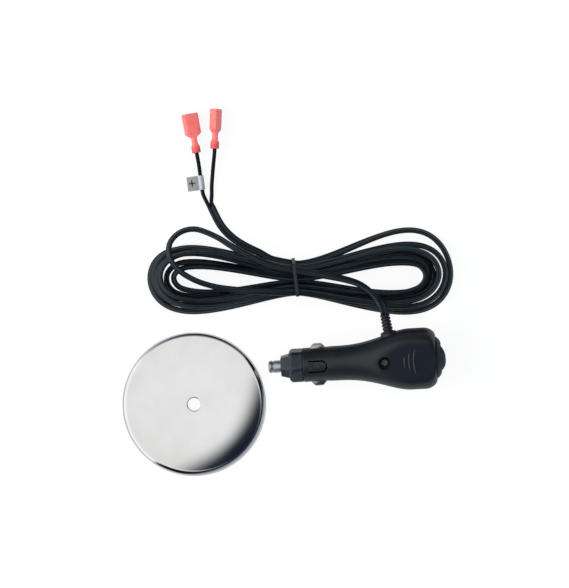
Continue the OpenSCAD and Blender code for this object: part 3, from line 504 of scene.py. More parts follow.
def cord_route():
    """Centre line and rolls of the cord from the plug to its split."""
    relief_end = Vector((RELIEF_U, RELIEF_V, 0)) + RELIEF_OUT * RELIEF_LEN
    loops = [hank_point(i / RINGS_PER_TURN) for i in range(round(HANK_TURNS * RINGS_PER_TURN) + 1)]
    loops = eased(loops, HANK_SPACING, LEAST_BEND)
    hank_start = loops[0] - WAY_IN * CORD_W
    hank_end = loops[-1] + WAY_OUT * CORD_W
    lead = [hank_end, hank_end + WAY_OUT * CORD_W] + LEAD
    lead += [on_table(relief_end + RELIEF_OUT * CORD_W), on_table(relief_end)]
    lead = smooth_path(lead, LEAD_SPACING)
    tail = smooth_path([hank_start, hank_start - WAY_IN * CORD_W] + TAIL, LEAD_SPACING)
    whole = list(reversed(lead)) + list(reversed(loops)) + tail
    return on_edge([drawn_in(point) for point in whole], FLAT_START, path_length(tail))


def twin_section(width, thick, groove, points=24):
    """Section of a flat twin cord: two round lobes with a groove between them."""
    section = []
    for j in range(points):
        a = 2 * pi * (j + 0.5) / points
        side = width / 2 * cos(a)
        lobe = 1 - min(1, abs(abs(side) - width / 4) / (width / 4)) ** 2
        height = thick / 2 * max(groove if abs(side) < width / 4 else 0, sqrt(max(0.0, lobe)))
        section.append((side, copysign(height, sin(a))))
    return section


route, rolls = cord_route()
cord_section = twin_section(CORD_W, CORD_T, CORD_GROOVE)
cord = settle(blank("cord", sweep(route, cord_section, rolls=rolls)), sharp_deg=80)
dress(cord, JACKET, "lead", "cord_jacket", "cord_lead", "cord_hank", "cord_tail")

# Terminals, placed by the rear end of the barrel, the heading from +Y and the roll

Terminal = namedtuple("Terminal", "x y heading_deg roll_deg")
POSITIVE = Terminal(1.5, 152.2, 10.5, 25)
NEGATIVE = Terminal(12.4, 154.7, -2, 70)
TERMINALS = (("positive", 1, POSITIVE_ROUTE, POSITIVE), ("negative", -1, NEGATIVE_ROUTE, NEGATIVE))
HEAD_W, HEAD_T, HEAD_LEN = 9.5, 5.0, 12.5
HEAD_REST, HEAD_WALL, HEAD_EDGE, HEAD_SQUARE = 0.1, 0.7, 0.3, 6
SLEEVE_LEN, NECK_LEN, SHOULDER_LEN = 5.5, 4.0, 2.0
SLEEVE_R, NECK_R, SLEEVE_BORE_R, BORE_LIP = 2.7, 1.8, 1.4, 0.45
FUNNEL_U, FUNNEL_END_U, FUNNEL_STEPS = 0.62 * SLEEVE_LEN, SLEEVE_LEN + 0.4, 8
SHOULDER_SPILL, SHOULDER_STEPS = 0.6, 12
DARK_BARREL_LEN, DARK_BARREL_FADE = 2.4, 2.4

# (reach, inset) of the rings at the barrel's lip, and back from the mouth of the head
SLEEVE_LIP = ((0.1, 0.75), (0, 0.45), (0.12, 0.14), (0.4, 0), (0.35 * SLEEVE_LEN, 0.05))
MOUTH_LIP = ((1, 0), (HEAD_EDGE, 0), (0.08, 0.1), (0, HEAD_EDGE), (0.1, HEAD_WALL - 0.1), (0.6, HEAD_WALL))


def terminal_rear(place):
    roll = radians(place.roll_deg)
    height = HEAD_W / 2 * abs(sin(roll)) + HEAD_T / 2 * abs(cos(roll)) + HEAD_REST
    return Vector((place.x, place.y, height))


def at_terminal(place):
    """Matrix from a terminal's frame, x out of its mouth, to the table in metres."""
    heading = Matrix.Rotation(radians(90 + place.heading_deg), 4, "Z")
    roll = Matrix.Rotation(radians(place.roll_deg), 4, "X")
    return Matrix.Translation(terminal_rear(place) * MM) @ (heading @ roll)


def wire_route(side, middle, place):
    """Centre line of one wire from the split of the cord into its terminal."""
    split = Vector(TAIL[-1])
    way = (split - Vector(TAIL[-2])).normalized()
    across = UP.cross(way)
    start = split + across * side * WIRE_D / 2
    heading = radians(place.heading_deg)
    out = Vector((-sin(heading), cos(heading), 0))
    ends = [terminal_rear(place) + out * s for s in (-WIRE_D, 0, WIRE_IN)]
    return smooth_path([start, start + way * WIRE_D] + middle + ends, WIRE_SPACING)


def bulge(c, n):
    return copysign(abs(c) ** (2 / n), c)


def oval(x, half_w, half_t, n, points=48):
    """Ring across x: a superellipse, round at n = 2 and squarer above."""
    return [(x, half_w * bulge(c, n), half_t * bulge(s, n)) for c, s in circle(1, points)]


def sleeve_mesh():
    """Moulded terminal housing: funnel barrel, pinched neck, rounded shoulders and an open head."""
    def tube(x, r):
        return oval(x, r, r, 2)

    def head_ring(x, inset):
        return oval(x, HEAD_W / 2 - inset, HEAD_T / 2 - inset, HEAD_SQUARE)

    neck_end = SLEEVE_LEN + NECK_LEN
    head = neck_end + SHOULDER_LEN
    end = head + HEAD_LEN
    rings = [tube(BORE_LIP, SLEEVE_BORE_R)]
    rings += [tube(x, SLEEVE_R - inset) for x, inset in SLEEVE_LIP]
    for k in range(FUNNEL_STEPS + 1):
        s = k / FUNNEL_STEPS
        r = SLEEVE_R - (SLEEVE_R - NECK_R) * smooth_step(s)
        rings.append(tube(FUNNEL_U + (FUNNEL_END_U - FUNNEL_U) * s, r))
    for k in range(SHOULDER_STEPS + 1):
        s = smooth_step(k / SHOULDER_STEPS)
        x = neck_end - SHOULDER_SPILL + (SHOULDER_LEN + 2 * SHOULDER_SPILL) * k / SHOULDER_STEPS
        half_w = NECK_R + (HEAD_W / 2 - NECK_R) * s
        half_t = NECK_R + (HEAD_T / 2 - NECK_R) * s
        rings.append(oval(x, half_w, half_t, 2 + (HEAD_SQUARE - 2) * s))
    rings += [head_ring(x, 0) for x in (head + 2, head + 6)]
    rings += [head_ring(end - back, inset) for back, inset in MOUTH_LIP]
    rings += [head_ring(head + HEAD_EDGE, HEAD_WALL), head_ring(head, HEAD_WALL + HEAD_EDGE)]
    rings.append(tube(head, SLEEVE_BORE_R))
    return skin(rings, loop=True)


def mark_crimp(sleeve):
    """Marks the rear end of the barrel for a darker red, which fades out towards the neck."""
    marks = sleeve.data.attributes.new("crimp", "FLOAT", "POINT")
    for vertex, mark in zip(sleeve.data.vertices, marks.data):
        mark.value = 1 - smooth_step((vertex.co.x - DARK_BARREL_LEN) / DARK_BARREL_FADE)


for word, side, middle, place in TERMINALS:
    sleeve = blank(f"{word}_housing", sleeve_mesh())
    mark_crimp(sleeve)
    settle(sleeve, at_terminal(place), sharp_deg=50)
    dress(sleeve, NYLON, "lead", "terminal_nylon", f"{word}_sleeve")
    line = wire_route(side, middle, place)
    wire = settle(blank(f"{word}_lead", sweep(line, circle(WIRE_D / 2, WIRE_STEPS))), sharp_deg=60)
    # The wires' jacket is the cord's, darkened as painted shade
    dress(wire, WIRE, "lead", "cord_jacket", f"{word}_wire")

# Label wrapped round the positive wire

FLAG_MID = Vector((4.24, 134.2, 1.95))
FLAG_YAW, FLAG_LEAN = radians(97.6), radians(-8)
FLAG_W, FLAG_LEN, FLAG_T = 8.6, 8.7, 0.5
FLAG_GAP, WRAP_T, WRAP_EDGE = 0.2, 0.45, 0.05
WRAP_R = WIRE_D / 2 + FLAG_GAP + FLAG_T
LEAF_START, LEAF_INSET, LEAF_EDGE, LEAF_STEPS = 0.55 * WRAP_R, 0.15, 0.12, 14
LEAF_CURL, LEAF_SWING = 0.1, 3.0
PLUS_MID, PLUS_REACH, PLUS_BAR = (0.2, 5.6), 2.0, 0.75
PLUS_LOW, PLUS_HIGH = 0.2, 0.4
AT_FLAG = (Matrix.Translation(FLAG_MID * MM) @ Matrix.Rotation(FLAG_YAW, 4, "Z")
           @ Matrix.Rotation(FLAG_LEAN, 4, "X"))

WRAP_END = FLAG_LEN / 2
wrap = [(WRAP_END - WRAP_EDGE, WRAP_R), (WRAP_END, WRAP_R - WRAP_EDGE), (WRAP_END, WRAP_R - WRAP_T)]
flag = settle(blank("polarity_label", turned(mirrored(wrap), loop=True)), AT_FLAG)
dress(flag, FOIL, "lead", "flag_label", "polarity_flag")

leaf_rings = []
for k in range(LEAF_STEPS + 1):
    y = LEAF_START + (FLAG_W - LEAF_START) * k / LEAF_STEPS
    lift = LEAF_CURL * sin(LEAF_SWING * k / LEAF_STEPS)
    inset = LEAF_INSET if k in (0, LEAF_STEPS) else 0.0
    leaf_rings.append([(x, y, z + lift) for x, z in soft_box(FLAG_LEN - 2 * inset, FLAG_T, LEAF_EDGE)])
leaf = settle(blank("label_leaf", skin(leaf_rings)), AT_FLAG)
dress(leaf, FLAG, "lead", "flag_label")


def plus_bar(half_x, half_y):
    x, y = PLUS_MID
    return block((x - half_x, y - half_y, PLUS_LOW), (x + half_x, y + half_y, PLUS_HIGH))


plus = blank("label_plus", plus_bar(PLUS_REACH, PLUS_BAR / 2))
join(plus, plus_bar(PLUS_BAR / 2, PLUS_REACH))
settle(plus, AT_FLAG)
dress(plus, INK, "lead", "flag_label")

# Tie round the waist of the hank and the lead on top of it

TIE_W, TIE_T, TIE_SLANT, TIE_ROUND = 2.0, 0.5, radians(7), 2.2
TIE_X, TIE_LOW, TIE_HIGH = HANK_X - 2, -9.75, 13.35
TIE_BOTTOM, TIE_SHOULDER, TIE_TOP, TIE_TOP_END = 0.35, 5.2, 17.5, 9.7
TIE_OUTLINE = [
    (TIE_LOW, TIE_BOTTOM), (TIE_HIGH, TIE_BOTTOM), (TIE_HIGH, TIE_SHOULDER), (TIE_TOP_END, TIE_TOP),
    (TIE_LOW, TIE_TOP),
]
AT_TIE = Matrix.Translation(Vector((TIE_X, HANK_Y, 0)) * MM) @ Matrix.Rotation(TIE_SLANT, 4, "Z")
tie_line = rounded([(TIE_W / 2, y, z) for y, z in TIE_OUTLINE + TIE_OUTLINE[:1]], TIE_ROUND)
tie_mesh = sweep(tie_line, soft_box(TIE_T, TIE_W, TIE_T / 2), upright=Vector((1, 0, 0)), loop=True)
tie = settle(blank("tie_band", tie_mesh), AT_TIE)
dress(tie, TIE, "lead", "tie_plastic", "hank_tie")

# Sizes of the plug, and its stations from the tip, in millimetres

NOSE_U, COLLAR_U, CAP_END_U = 7.5, 12.7, 20.9
SPIGOT_U, SHELL_U, BORE_U = 14.6, 21.1, 22.4
GRIP_U, REAR_U = 40.0, 101.5
CAVITY_U, CAVITY_END_U = 59.05, 99.3
BARREL_R, BORE_R = 10.3, 8.3
SPIGOT_R, SPIGOT_BORE_R = 8.0, 5.6
SPIGOT_EDGE_U, SPIGOT_EDGE_R, SHELL_EDGE, SHELL_EDGE_MID = 0.4, 0.3, 0.35, 0.1
STEP_U, STEP_LEN = 34, 6
GRIP_W, GRIP_T, GRIP_STEP, GRIP_ROUND, GRIP_WALL = 36.8, 29.2, 0.2, 7.5, 2.2
SWELL_LEN, SWELL_POWER, GRIP_SQUARE = 46.0, 1.4, 0.6
NECK_SPACING, NECK_ROWS, GRIP_ROWS, REAR_ROWS = 0.95, 20, 50, 16
REAR_R, SWITCH_R = 12.9, 10.1
PAD_H, PAD_EDGE, PAD_U, PAD_SLOPE = 12.6, 0.9, 69.0, 1.2
RING = 72
SEAM, SEAM_CUT = 0.006, 0.25


def swell(u):
    return smooth_step(max(0, (u - GRIP_U) / SWELL_LEN) ** SWELL_POWER)


def rear_arc(u):
    return sqrt(max(0, 1 - max(0, (u - REAR_U + GRIP_ROUND) / GRIP_ROUND) ** 2))


def grip_half(u, size):
    full = BARREL_R + GRIP_STEP + (size / 2 - BARREL_R - GRIP_STEP) * swell(u)
    return REAR_R + (full - REAR_R) * rear_arc(u)


def squareness(u):
    return 2 + GRIP_SQUARE * swell(u) * rear_arc(u)


def smooth_min(a, b, reach):
    h = min(1, max(0, 0.5 + 0.5 * (b - a) / reach))
    return b + (a - b) * h - reach * h * (1 - h)


def shell_section(u, outer, inner, side):
    """Closed section of one half of the housing, its edges cut back along the parting line."""
    half_w, half_t, n = outer
    pad = PAD_H + max(0, PAD_U - u) * PAD_SLOPE
    ring = [(u, half_w - SEAM_CUT, 0)]
    for j in range(RING + 1):
        a = pi * (SEAM + (1 - 2 * SEAM) * j / RING)
        w = half_t * bulge(sin(a), n)
        if side > 0:
            w = smooth_min(w, pad, PAD_EDGE)
        ring.append((u, half_w * bulge(cos(a), n), side * w))
    ring.append((u, SEAM_CUT - half_w, 0))
    half_w, half_t, n = inner
    for j in range(RING + 1):
        a = pi * (1 - j / RING)
        ring.append((u, half_w * bulge(cos(a), n), side * half_t * bulge(abs(sin(a)), n)))
    return ring


def shell_stations():
    """Station, outer and inner section along the housing."""
    def even(r):
        return (r, r, 2)

    def grip(u):
        return (grip_half(u, GRIP_W), grip_half(u, GRIP_T), squareness(u))

    def hollow(u):
        half_w, half_t, n = grip(u)
        return (half_w - GRIP_WALL, min(half_t, PAD_H) - GRIP_WALL, n)

    front = [
        (SPIGOT_U, SPIGOT_R - SPIGOT_EDGE_R), (SPIGOT_U + SPIGOT_EDGE_U, SPIGOT_R), (SHELL_U, SPIGOT_R),
        (SHELL_U, BARREL_R - SHELL_EDGE), (SHELL_U + SHELL_EDGE_MID, BARREL_R - SHELL_EDGE_MID),
        (SHELL_U + SHELL_EDGE, BARREL_R), (BORE_U, BARREL_R),
    ]
    rows = [(u, even(r), even(SPIGOT_BORE_R)) for u, r in front]
    rows += [(u, even(BARREL_R), even(BORE_R)) for u in (BORE_U, 26, 30, STEP_U)]
    for i in range(1, STEP_LEN):
        rows.append((STEP_U + i, even(BARREL_R + GRIP_STEP * smooth_step(i / STEP_LEN)), even(BORE_R)))
    neck = [GRIP_U + NECK_SPACING * i for i in range(NECK_ROWS)] + [CAVITY_U]
    rows += [(u, grip(u), even(BORE_R)) for u in neck]
    arc_u = REAR_U - GRIP_ROUND
    straight = [CAVITY_U + (arc_u - CAVITY_U) * i / GRIP_ROWS for i in range(GRIP_ROWS)]
    rows += [(u, grip(u), hollow(u)) for u in straight]
    arc = [arc_u + GRIP_ROUND * sin(pi / 2 * i / REAR_ROWS) for i in range(REAR_ROWS + 1)]
    rows += [(u, grip(u), hollow(min(u, CAVITY_END_U))) for u in arc[:REAR_ROWS // 2 + 1]]
    rows += [(u, grip(u), even(SWITCH_R)) for u in arc[REAR_ROWS // 2:]]
    return rows


# (reach from the seat of the relief, radius)
BOSS_PROFILE = ((-5.6, 5.3), (-3.2, 5.3), (-0.9, 4.95), (-0.35, 4.75), (-0.08, 4.45), (0, 4.1), (0, 2.9))
BOSS_STEPS = 32


def half_boss(side):
    """Half of the boss round the strain relief."""
    angles = [pi * j / BOSS_STEPS for j in range(BOSS_STEPS + 1)]
    rings = []
    for z, r in BOSS_PROFILE:
        middle = Vector((RELIEF_U, RELIEF_V, 0)) + RELIEF_OUT * z
        rings.append([middle + RELIEF_ACROSS * r * cos(a) + UP * (side * r * sin(a)) for a in angles])
    return skin(rings)


CONTACT_U, CONTACT_LEN, CONTACT_W, CONTACT_RISE, CONTACT_T = 25.4, 9.5, 4.0, 2.4, 0.5
WINDOW_GAP, WINDOW_IN, WINDOW_OUT = 0.25, 4, 14


def half_shell(name, side):
    """One half of the housing, with the windows of the side contacts."""
    piece = blank(name, skin([shell_section(u, outer, inner, side) for u, outer, inner in shell_stations()]))
    for low, high in ((WINDOW_IN, WINDOW_OUT), (-WINDOW_OUT, -WINDOW_IN)):
        carve(piece, block((CONTACT_U - WINDOW_GAP, low, -CONTACT_W / 2 - WINDOW_GAP),
                           (CONTACT_U + CONTACT_LEN + WINDOW_GAP, high, CONTACT_W / 2 + WINDOW_GAP)))
    return piece


TONGUE_U, TONGUE_LEN, TONGUE_R, TONGUE_SLOT = 24.6, 11.4, 3.75, 0.9
SLOT_W, SLOT_BELOW, SLOT_ABOVE, SLOT_LEAD = 12, 5.7, 5, 2


def tongue_slot():
    """Cutter for the U-shaped slot round the tongue."""
    r, half = TONGUE_R - TONGUE_SLOT / 2, TONGUE_SLOT / 2
    end = TONGUE_U + TONGUE_LEN - TONGUE_R
    bend = [(end + r * cos(a), r * sin(a)) for a in map(radians, range(-90, 91, 9))]
    corners = [(TONGUE_U, -r), (end - SLOT_LEAD, -r), *bend, (end - SLOT_LEAD, r), (TONGUE_U, r)]
    line = [Vector((u, v, SLOT_W)) for u, v in corners]
    return sweep(line, [(-half, -SLOT_BELOW), (half, -SLOT_BELOW), (half, SLOT_ABOVE), (-half, SLOT_ABOVE)])


BAR_U, BAR_END_U, BAR_HALF, BAR_LOW, BAR_TOP, BAR_EDGE = 24.7, 27.4, 1.9, 9.6, 10.55, 0.2
BUMP_U = 31.35
BUMP_PROFILE = ((9.6, 1.3), (10.32, 1.3), (10.45, 1.18), (10.53, 0.9), (10.57, 0.5), (10.58, AXIS_R))


def tongue_bar():
    """Low bar across the root of the tongue."""
    rings = []
    for w, inset in ((BAR_LOW, 0), (BAR_TOP - BAR_EDGE, 0), (BAR_TOP, BAR_EDGE)):
        u0, u1, half = BAR_U + inset, BAR_END_U - inset, BAR_HALF - inset
        rings.append([(u0, -half, w), (u1, -half, w), (u1, half, w), (u0, half, w)])
    return skin(rings)


RIBS = 3
RIB_U, RIB_PITCH, RIB_LEN, RIB_GROWTH, RIB_BOW = 82.5, 2.8, 7, 4.3, 22
RIB_HALF, RIB_RISE, RIB_LEAST, RIB_FADE, RIB_STEPS = 0.5, 0.58, 0.12, 6, 24


def thumb_rib(i):
    """One bowed rib of the thumb pad, fading out at its ends."""
    reach = asin((RIB_LEN + RIB_GROWTH * i) / 2 / RIB_BOW)
    centre = Vector((RIB_U + RIB_PITCH * i + RIB_BOW, 0, PAD_H))
    angles = [radians(d) for d in range(-30, 211, 20)]
    rings = []
    for k in range(RIB_STEPS + 1):
        s = 2 * k / RIB_STEPS - 1
        size = max(RIB_LEAST, sqrt(max(0, 1 - s ** RIB_FADE)))
        a = pi - reach * s
        out = Vector((cos(a), sin(a), 0))
        foot = centre + out * RIB_BOW
        rings.append([foot + out * RIB_HALF * cos(b) * size + UP * (RIB_RISE * size * sin(b))
                      for b in angles])
    return skin(rings)


SCREW_U, SCREW_SEAT, POST_R, POST_LOW, POST_DROP = 70.6, 7.0, 5.35, 0.3, 1.1
RECESS_R, RECESS_TOP = 3.75, 20
RECESS_LIP = ((-0.75, 0), (-0.3, 0.15), (0, 0.5), (0.6, 1.3))
AT_SCREW = Matrix.Translation((SCREW_U, 0, 0)) @ U_TO_W
AT_BUMP = Matrix.Translation((BUMP_U, 0, 0)) @ U_TO_W


def screw_recess():
    """Cutter for the flared recess over the screw."""
    profile = [(SCREW_SEAT, RECESS_R)] + [(PAD_H + rise, RECESS_R + flare) for rise, flare in RECESS_LIP]
    profile.append((RECESS_TOP, profile[-1][1]))
    return turned(profile, place=AT_SCREW)


# Upper and lower half of the housing

# Painted shade on the thumb pad, blue-black, and painted highlights on its ribs, light grey
paint_pad_shade_and_rib_highlight(SHELL, PAD_H, (0.0058, 0.0098, 0.014), (0.036, 0.039, 0.042))
upper = half_shell("upper_housing", 1)
carve(upper, turned([(POST_LOW, POST_R), (PAD_H - POST_DROP, POST_R)], place=AT_SCREW), "UNION")
carve(upper, screw_recess())
carve(upper, tongue_slot())
join(upper, half_boss(1))
for i in range(RIBS):
    join(upper, thumb_rib(i))
join(upper, tongue_bar())
join(upper, turned(BUMP_PROFILE, 32, place=AT_BUMP))
settle(upper, IN_PLUG)
dress(upper, SHELL, "lead", "shell_plastic", "upper_shell")

lower = half_shell("lower_housing", -1)
join(lower, half_boss(-1))
settle(lower, IN_PLUG)
dress(lower, SHELL, "lead", "shell_plastic", "lower_shell")

# Nose cap with soft edges

CAP_TURN = radians(-83)
CAP_ROUND, CAP_BLEND, CAP_STEPS = 44, 0.12, 144
CAP_HOLE_R, CAP_STOP_U, CAP_FLANGE_R, CAP_SHELF_U, CAP_BORE_R = 3.8, 11.9, 5.4, 14.4, 8.15


def cap_ring(u, flat, corner):
    """Ring with six soft-edged flats, no further out than its corners; equal sizes make it round."""
    ring = []
    for j in range(CAP_STEPS):
        a = 2 * pi * j / CAP_STEPS
        leans = [cos(a - CAP_TURN - pi / 6 - pi / 3 * k) for k in range(6)]
        total = sum(max(0.0, lean) ** CAP_ROUND for lean in leans)
        radius = corner
        if flat < corner:
            radius = smooth_min(flat / total ** (1 / CAP_ROUND), corner, CAP_BLEND)
        ring.append((u, radius * cos(a), radius * sin(a)))
    return ring


# (reach, flat, corner) of the nose from its front, of the collar from its step, and of the collar's end
CAP_NOSE = ((0.35, CAP_HOLE_R, CAP_HOLE_R), (0, 4.1, 4.1), (0, 5.2, 6.0), (0.12, 5.45, 6.3), (0.4, 5.62, 6.5))
CAP_COLLAR = (
    (-0.3, 6.74, 7.8), (-0.05, 6.9, 8.0), (0, 7.15, 8.25), (0, 8.0, 8.6),
    (0.12, 8.35, 9.0), (1.2, 9.28, 10.05), (1.6, 9.38, 10.25), (2.2, 9.4, 10.3),
)
CAP_END = ((-0.5, 9.4, 10.3), (-0.12, 9.32, 10.2), (0, 9.1, 9.95), (0, CAP_BORE_R, CAP_BORE_R))
CAP_BORE = (
    (CAP_SHELF_U, CAP_BORE_R), (CAP_SHELF_U, CAP_FLANGE_R),
    (CAP_STOP_U, CAP_FLANGE_R), (CAP_STOP_U, CAP_HOLE_R),
)
cap_rings = []
for station, profile in ((NOSE_U, CAP_NOSE), (COLLAR_U, CAP_COLLAR), (CAP_END_U, CAP_END)):
    cap_rings += [cap_ring(station + reach, flat, corner) for reach, flat, corner in profile]
cap_rings += [cap_ring(u, r, r) for u, r in CAP_BORE]
cap = settle(blank("nose_collar", skin(cap_rings, loop=True)), IN_PLUG, sharp_deg=28)
dress(cap, CAP, "nose", "cap_plastic", "nose_cap")

# Turned centre tip

TIP_R, FLANGE_U, FUSE_U, FLANGE_R, CUP_R = 3.7, 12.0, 14.0, 5.0, 3.225
CUP_LEN, CUP_WALL = 5, 0.9

# (reach, depth) along the nose of the tip and its groove
TIP_SHAPE = (
    (0, 1.0), (0.1, 0.75), (0.75, 0.1), (0.95, 0), (2.15, 0), (2.3, 0.08), (2.5, 0.33), (2.6, 0.35),
    (3.05, 0.35), (3.15, 0.33), (3.35, 0.08), (3.5, 0),
)
tip_profile = [(FUSE_U, AXIS_R), (AXIS_R, AXIS_R), (0, 2 * AXIS_R)]
tip_profile += [(u, TIP_R - depth) for u, depth in TIP_SHAPE]
tip_profile += [
    (FLANGE_U, TIP_R), (FLANGE_U, FLANGE_R), (FUSE_U, FLANGE_R), (FUSE_U, CUP_R + CUP_WALL),
    (FUSE_U + CUP_LEN, CUP_R + CUP_WALL), (FUSE_U + CUP_LEN, CUP_R), (FUSE_U, CUP_R),
]
tip = settle(blank("tip_pin", turned(tip_profile, 96, loop=True)), IN_PLUG, sharp_deg=30)
dress(tip, NICKEL, "tip", "tip_metal", "center_tip")

# Spring behind the fuse, built at one length; the real spring shortens as the tip goes in

FUSE_LEN, TIP_TRAVEL = 31.8, 3.0
SPRING_LEN, SPRING_R, SPRING_WIRE, SPRING_TURNS, RINGS_PER_COIL = 10.3, 2.8, 0.8, 5, 24
SPRING_GAP, SPRING_INSET = 0.05, 0.6 * SPRING_WIRE
SPRING_U = FUSE_U + FUSE_LEN + SPRING_GAP
coil_line = []
for i in range(SPRING_TURNS * RINGS_PER_COIL + 1):
    turn = 2 * pi * i / RINGS_PER_COIL
    u = SPRING_U + SPRING_INSET + (SPRING_LEN - 2 * SPRING_INSET) * i / (SPRING_TURNS * RINGS_PER_COIL)
    coil_line.append(Vector((u, SPRING_R * cos(turn), SPRING_R * sin(turn))))
coil = blank("fuse_spring", sweep(coil_line, circle(SPRING_WIRE / 2, 10), upright=Vector((1, 0, 0))))
settle(coil, IN_PLUG, sharp_deg=60)
dress(coil, SPRING, "lead", "spring_steel", "tip_spring")
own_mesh(coil)

# Pressed side contacts

FOOT, FOOT_GAP, SLOPE, SHOULDER = 1.8, 0.05, 2.1, BARREL_R - 0.2
BEND_R, STRIP_EDGE = 1.0, 0.18
FOOT_V = sqrt((BORE_R - FOOT_GAP) ** 2 - (CONTACT_W / 2) ** 2) - CONTACT_T / 2
CROWN_V = BARREL_R + CONTACT_RISE - CONTACT_T / 2
BOW_U, BOW_HALF = CONTACT_U + CONTACT_LEN / 2, (CONTACT_LEN - CONTACT_T) / 2
BEND_HALF = ((BOW_HALF - SLOPE, CROWN_V), (BOW_HALF, SHOULDER), (BOW_HALF, FOOT_V), (BOW_HALF + FOOT, FOOT_V))
BEND = [(BOW_U + reach, v) for reach, v in mirrored(BEND_HALF)]

# (height, inset) of the rounded edge of the cheeks
CHEEK_EDGE = ((1.75, 0.02), (1.93, 0.14), (CONTACT_W / 2, 0.36))


def contact_cheeks(side):
    """The closed bow of a contact, between its two cheeks."""
    outline = rounded([(u, v, 0) for u, v in BEND[1:7] + BEND[1:2]], BEND_R)
    middle = Vector((BOW_U, FOOT_V, 0))
    rings = []
    for w, inset in mirrored(CHEEK_EDGE):
        shrink = Matrix.Diagonal((1 - 2 * inset / CONTACT_LEN, 1 - inset / (CROWN_V - FOOT_V), 1))
        ring = [middle + shrink @ (point - middle) for point in outline]
        rings.append([(point.x, side * point.y, w) for point in ring])
    return skin(rings)


for word, side in (("left", 1), ("right", -1)):
    strip_line = rounded([(u, side * v, 0) for u, v in BEND], BEND_R)
    strip = blank(f"contact_strip_{word}", sweep(strip_line, soft_box(CONTACT_T, CONTACT_W, STRIP_EDGE)))
    join(strip, contact_cheeks(side))
    settle(strip, IN_PLUG, sharp_deg=40)
    dress(strip, SPRINGY, f"contact_{word}", "contact_metal", f"side_contact_{word}")

# Ribbed strain relief

RELIEF_PITCH, RELIEF_RIBS = 2.0, 5
RELIEF_R, RELIEF_TAPER, RELIEF_END_R = 3.15, 0.25, 2.7
RELIEF_FLANGE_R, RELIEF_NECK_R, RELIEF_SEAT = 4.4, 2.95, 0.05

# (reach, depth) along one groove and its rib
RELIEF_RIB = (
    (0.08, 0.12), (0.22, 0.5), (0.35, 0.6), (0.6, 0.6), (0.78, 0.5), (0.92, 0.15), (1.05, 0.02), (1.2, 0),
    (1.75, 0), (1.92, 0.05),
)
relief_profile = [
    (-6.85, AXIS_R), (-6.85, RELIEF_FLANGE_R), (-5.65, RELIEF_FLANGE_R), (-5.65, RELIEF_NECK_R),
    (RELIEF_SEAT, RELIEF_NECK_R), (RELIEF_SEAT, RELIEF_R), (0.4, RELIEF_R),
]
for i in range(RELIEF_RIBS):
    z = RELIEF_LEN - (RELIEF_RIBS - i) * RELIEF_PITCH
    r = RELIEF_R - RELIEF_TAPER * z / RELIEF_LEN
    relief_profile += [(z + reach, r - depth) for reach, depth in RELIEF_RIB]
relief_profile += [(RELIEF_LEN, RELIEF_END_R), (RELIEF_LEN, AXIS_R)]
AT_RELIEF = (Matrix.Translation((RELIEF_U, RELIEF_V, 0))
             @ Matrix.Rotation(radians(90) + RELIEF_LEAN, 4, "Z"))
relief = settle(blank("ribbed_relief", turned(relief_profile, 48, place=AT_RELIEF)), IN_PLUG, sharp_deg=50)
dress(relief, RUBBER, "lead", "relief_rubber", "strain_relief")

# Rear switch

BEZEL_R, BEZEL_T, POCKET_R, POCKET_EDGE = 12.5, 2.8, 9.35, 0.15
SWITCH_U, BODY_R, BODY_EDGE = REAR_U - 17, 10, 0.3
PIVOT_U, POCKET_FLOOR_U = 101.8, 95.8

# (reach, depth) over the rounded face of the bezel
BEZEL_FACE = (
    (0.05, 0.25), (0.12, 0.08), (0.3, 0), (0.6, 0.12), (0.95, 0.38), (1.35, 0.78), (1.8, 1.3), (2.2, 1.82),
    (2.55, 2.36), (2.75, 2.75),
)
bezel_profile = [(SWITCH_U, AXIS_R), (SWITCH_U, BODY_R - BODY_EDGE), (SWITCH_U + BODY_EDGE, BODY_R)]
bezel_profile.append((REAR_U + BEZEL_FACE[0][0], BODY_R))
bezel_profile += [(REAR_U + reach, BEZEL_R - depth) for reach, depth in BEZEL_FACE]
bezel_profile += [(REAR_U + BEZEL_T, POCKET_R + POCKET_EDGE), (REAR_U + BEZEL_T - 0.1, POCKET_R)]
bezel_profile += [(POCKET_FLOOR_U, POCKET_R), (POCKET_FLOOR_U, AXIS_R)]
bezel = settle(blank("switch_bezel", turned(bezel_profile, 96)), IN_PLUG, sharp_deg=40)
dress(bezel, SWITCH, "lead", "switch_plastic", "switch_body")

# Rocker

ROCKER_R, ROCKER_FACE, ROCKER_SKIRT, ROCKER_DOME_R = 8.6, 2.0, 3.0, 14.7
ROCKER_SLOPE, ROCKER_TILT = radians(14), radians(12.5)
ROCKER_SWING_R = ROCKER_R + 0.55
ROCKER_STEPS, ROCKER_RIMS = 96, 28
HOLLOW_R, DOME_BLEND, SWING_BLEND = 0.5, 0.25, 0.4
ROCKER_LIP, ROCKER_MID = 0.45, 0.02
PIN_HALF, PIN_R, PIN_EDGE = 9.8, 0.8, 0.1

# (inset, depth) of the rings over the rounded edge
ROCKER_EDGE = ((0, ROCKER_LIP), (0.06, 0.22), (0.2, 0.06))


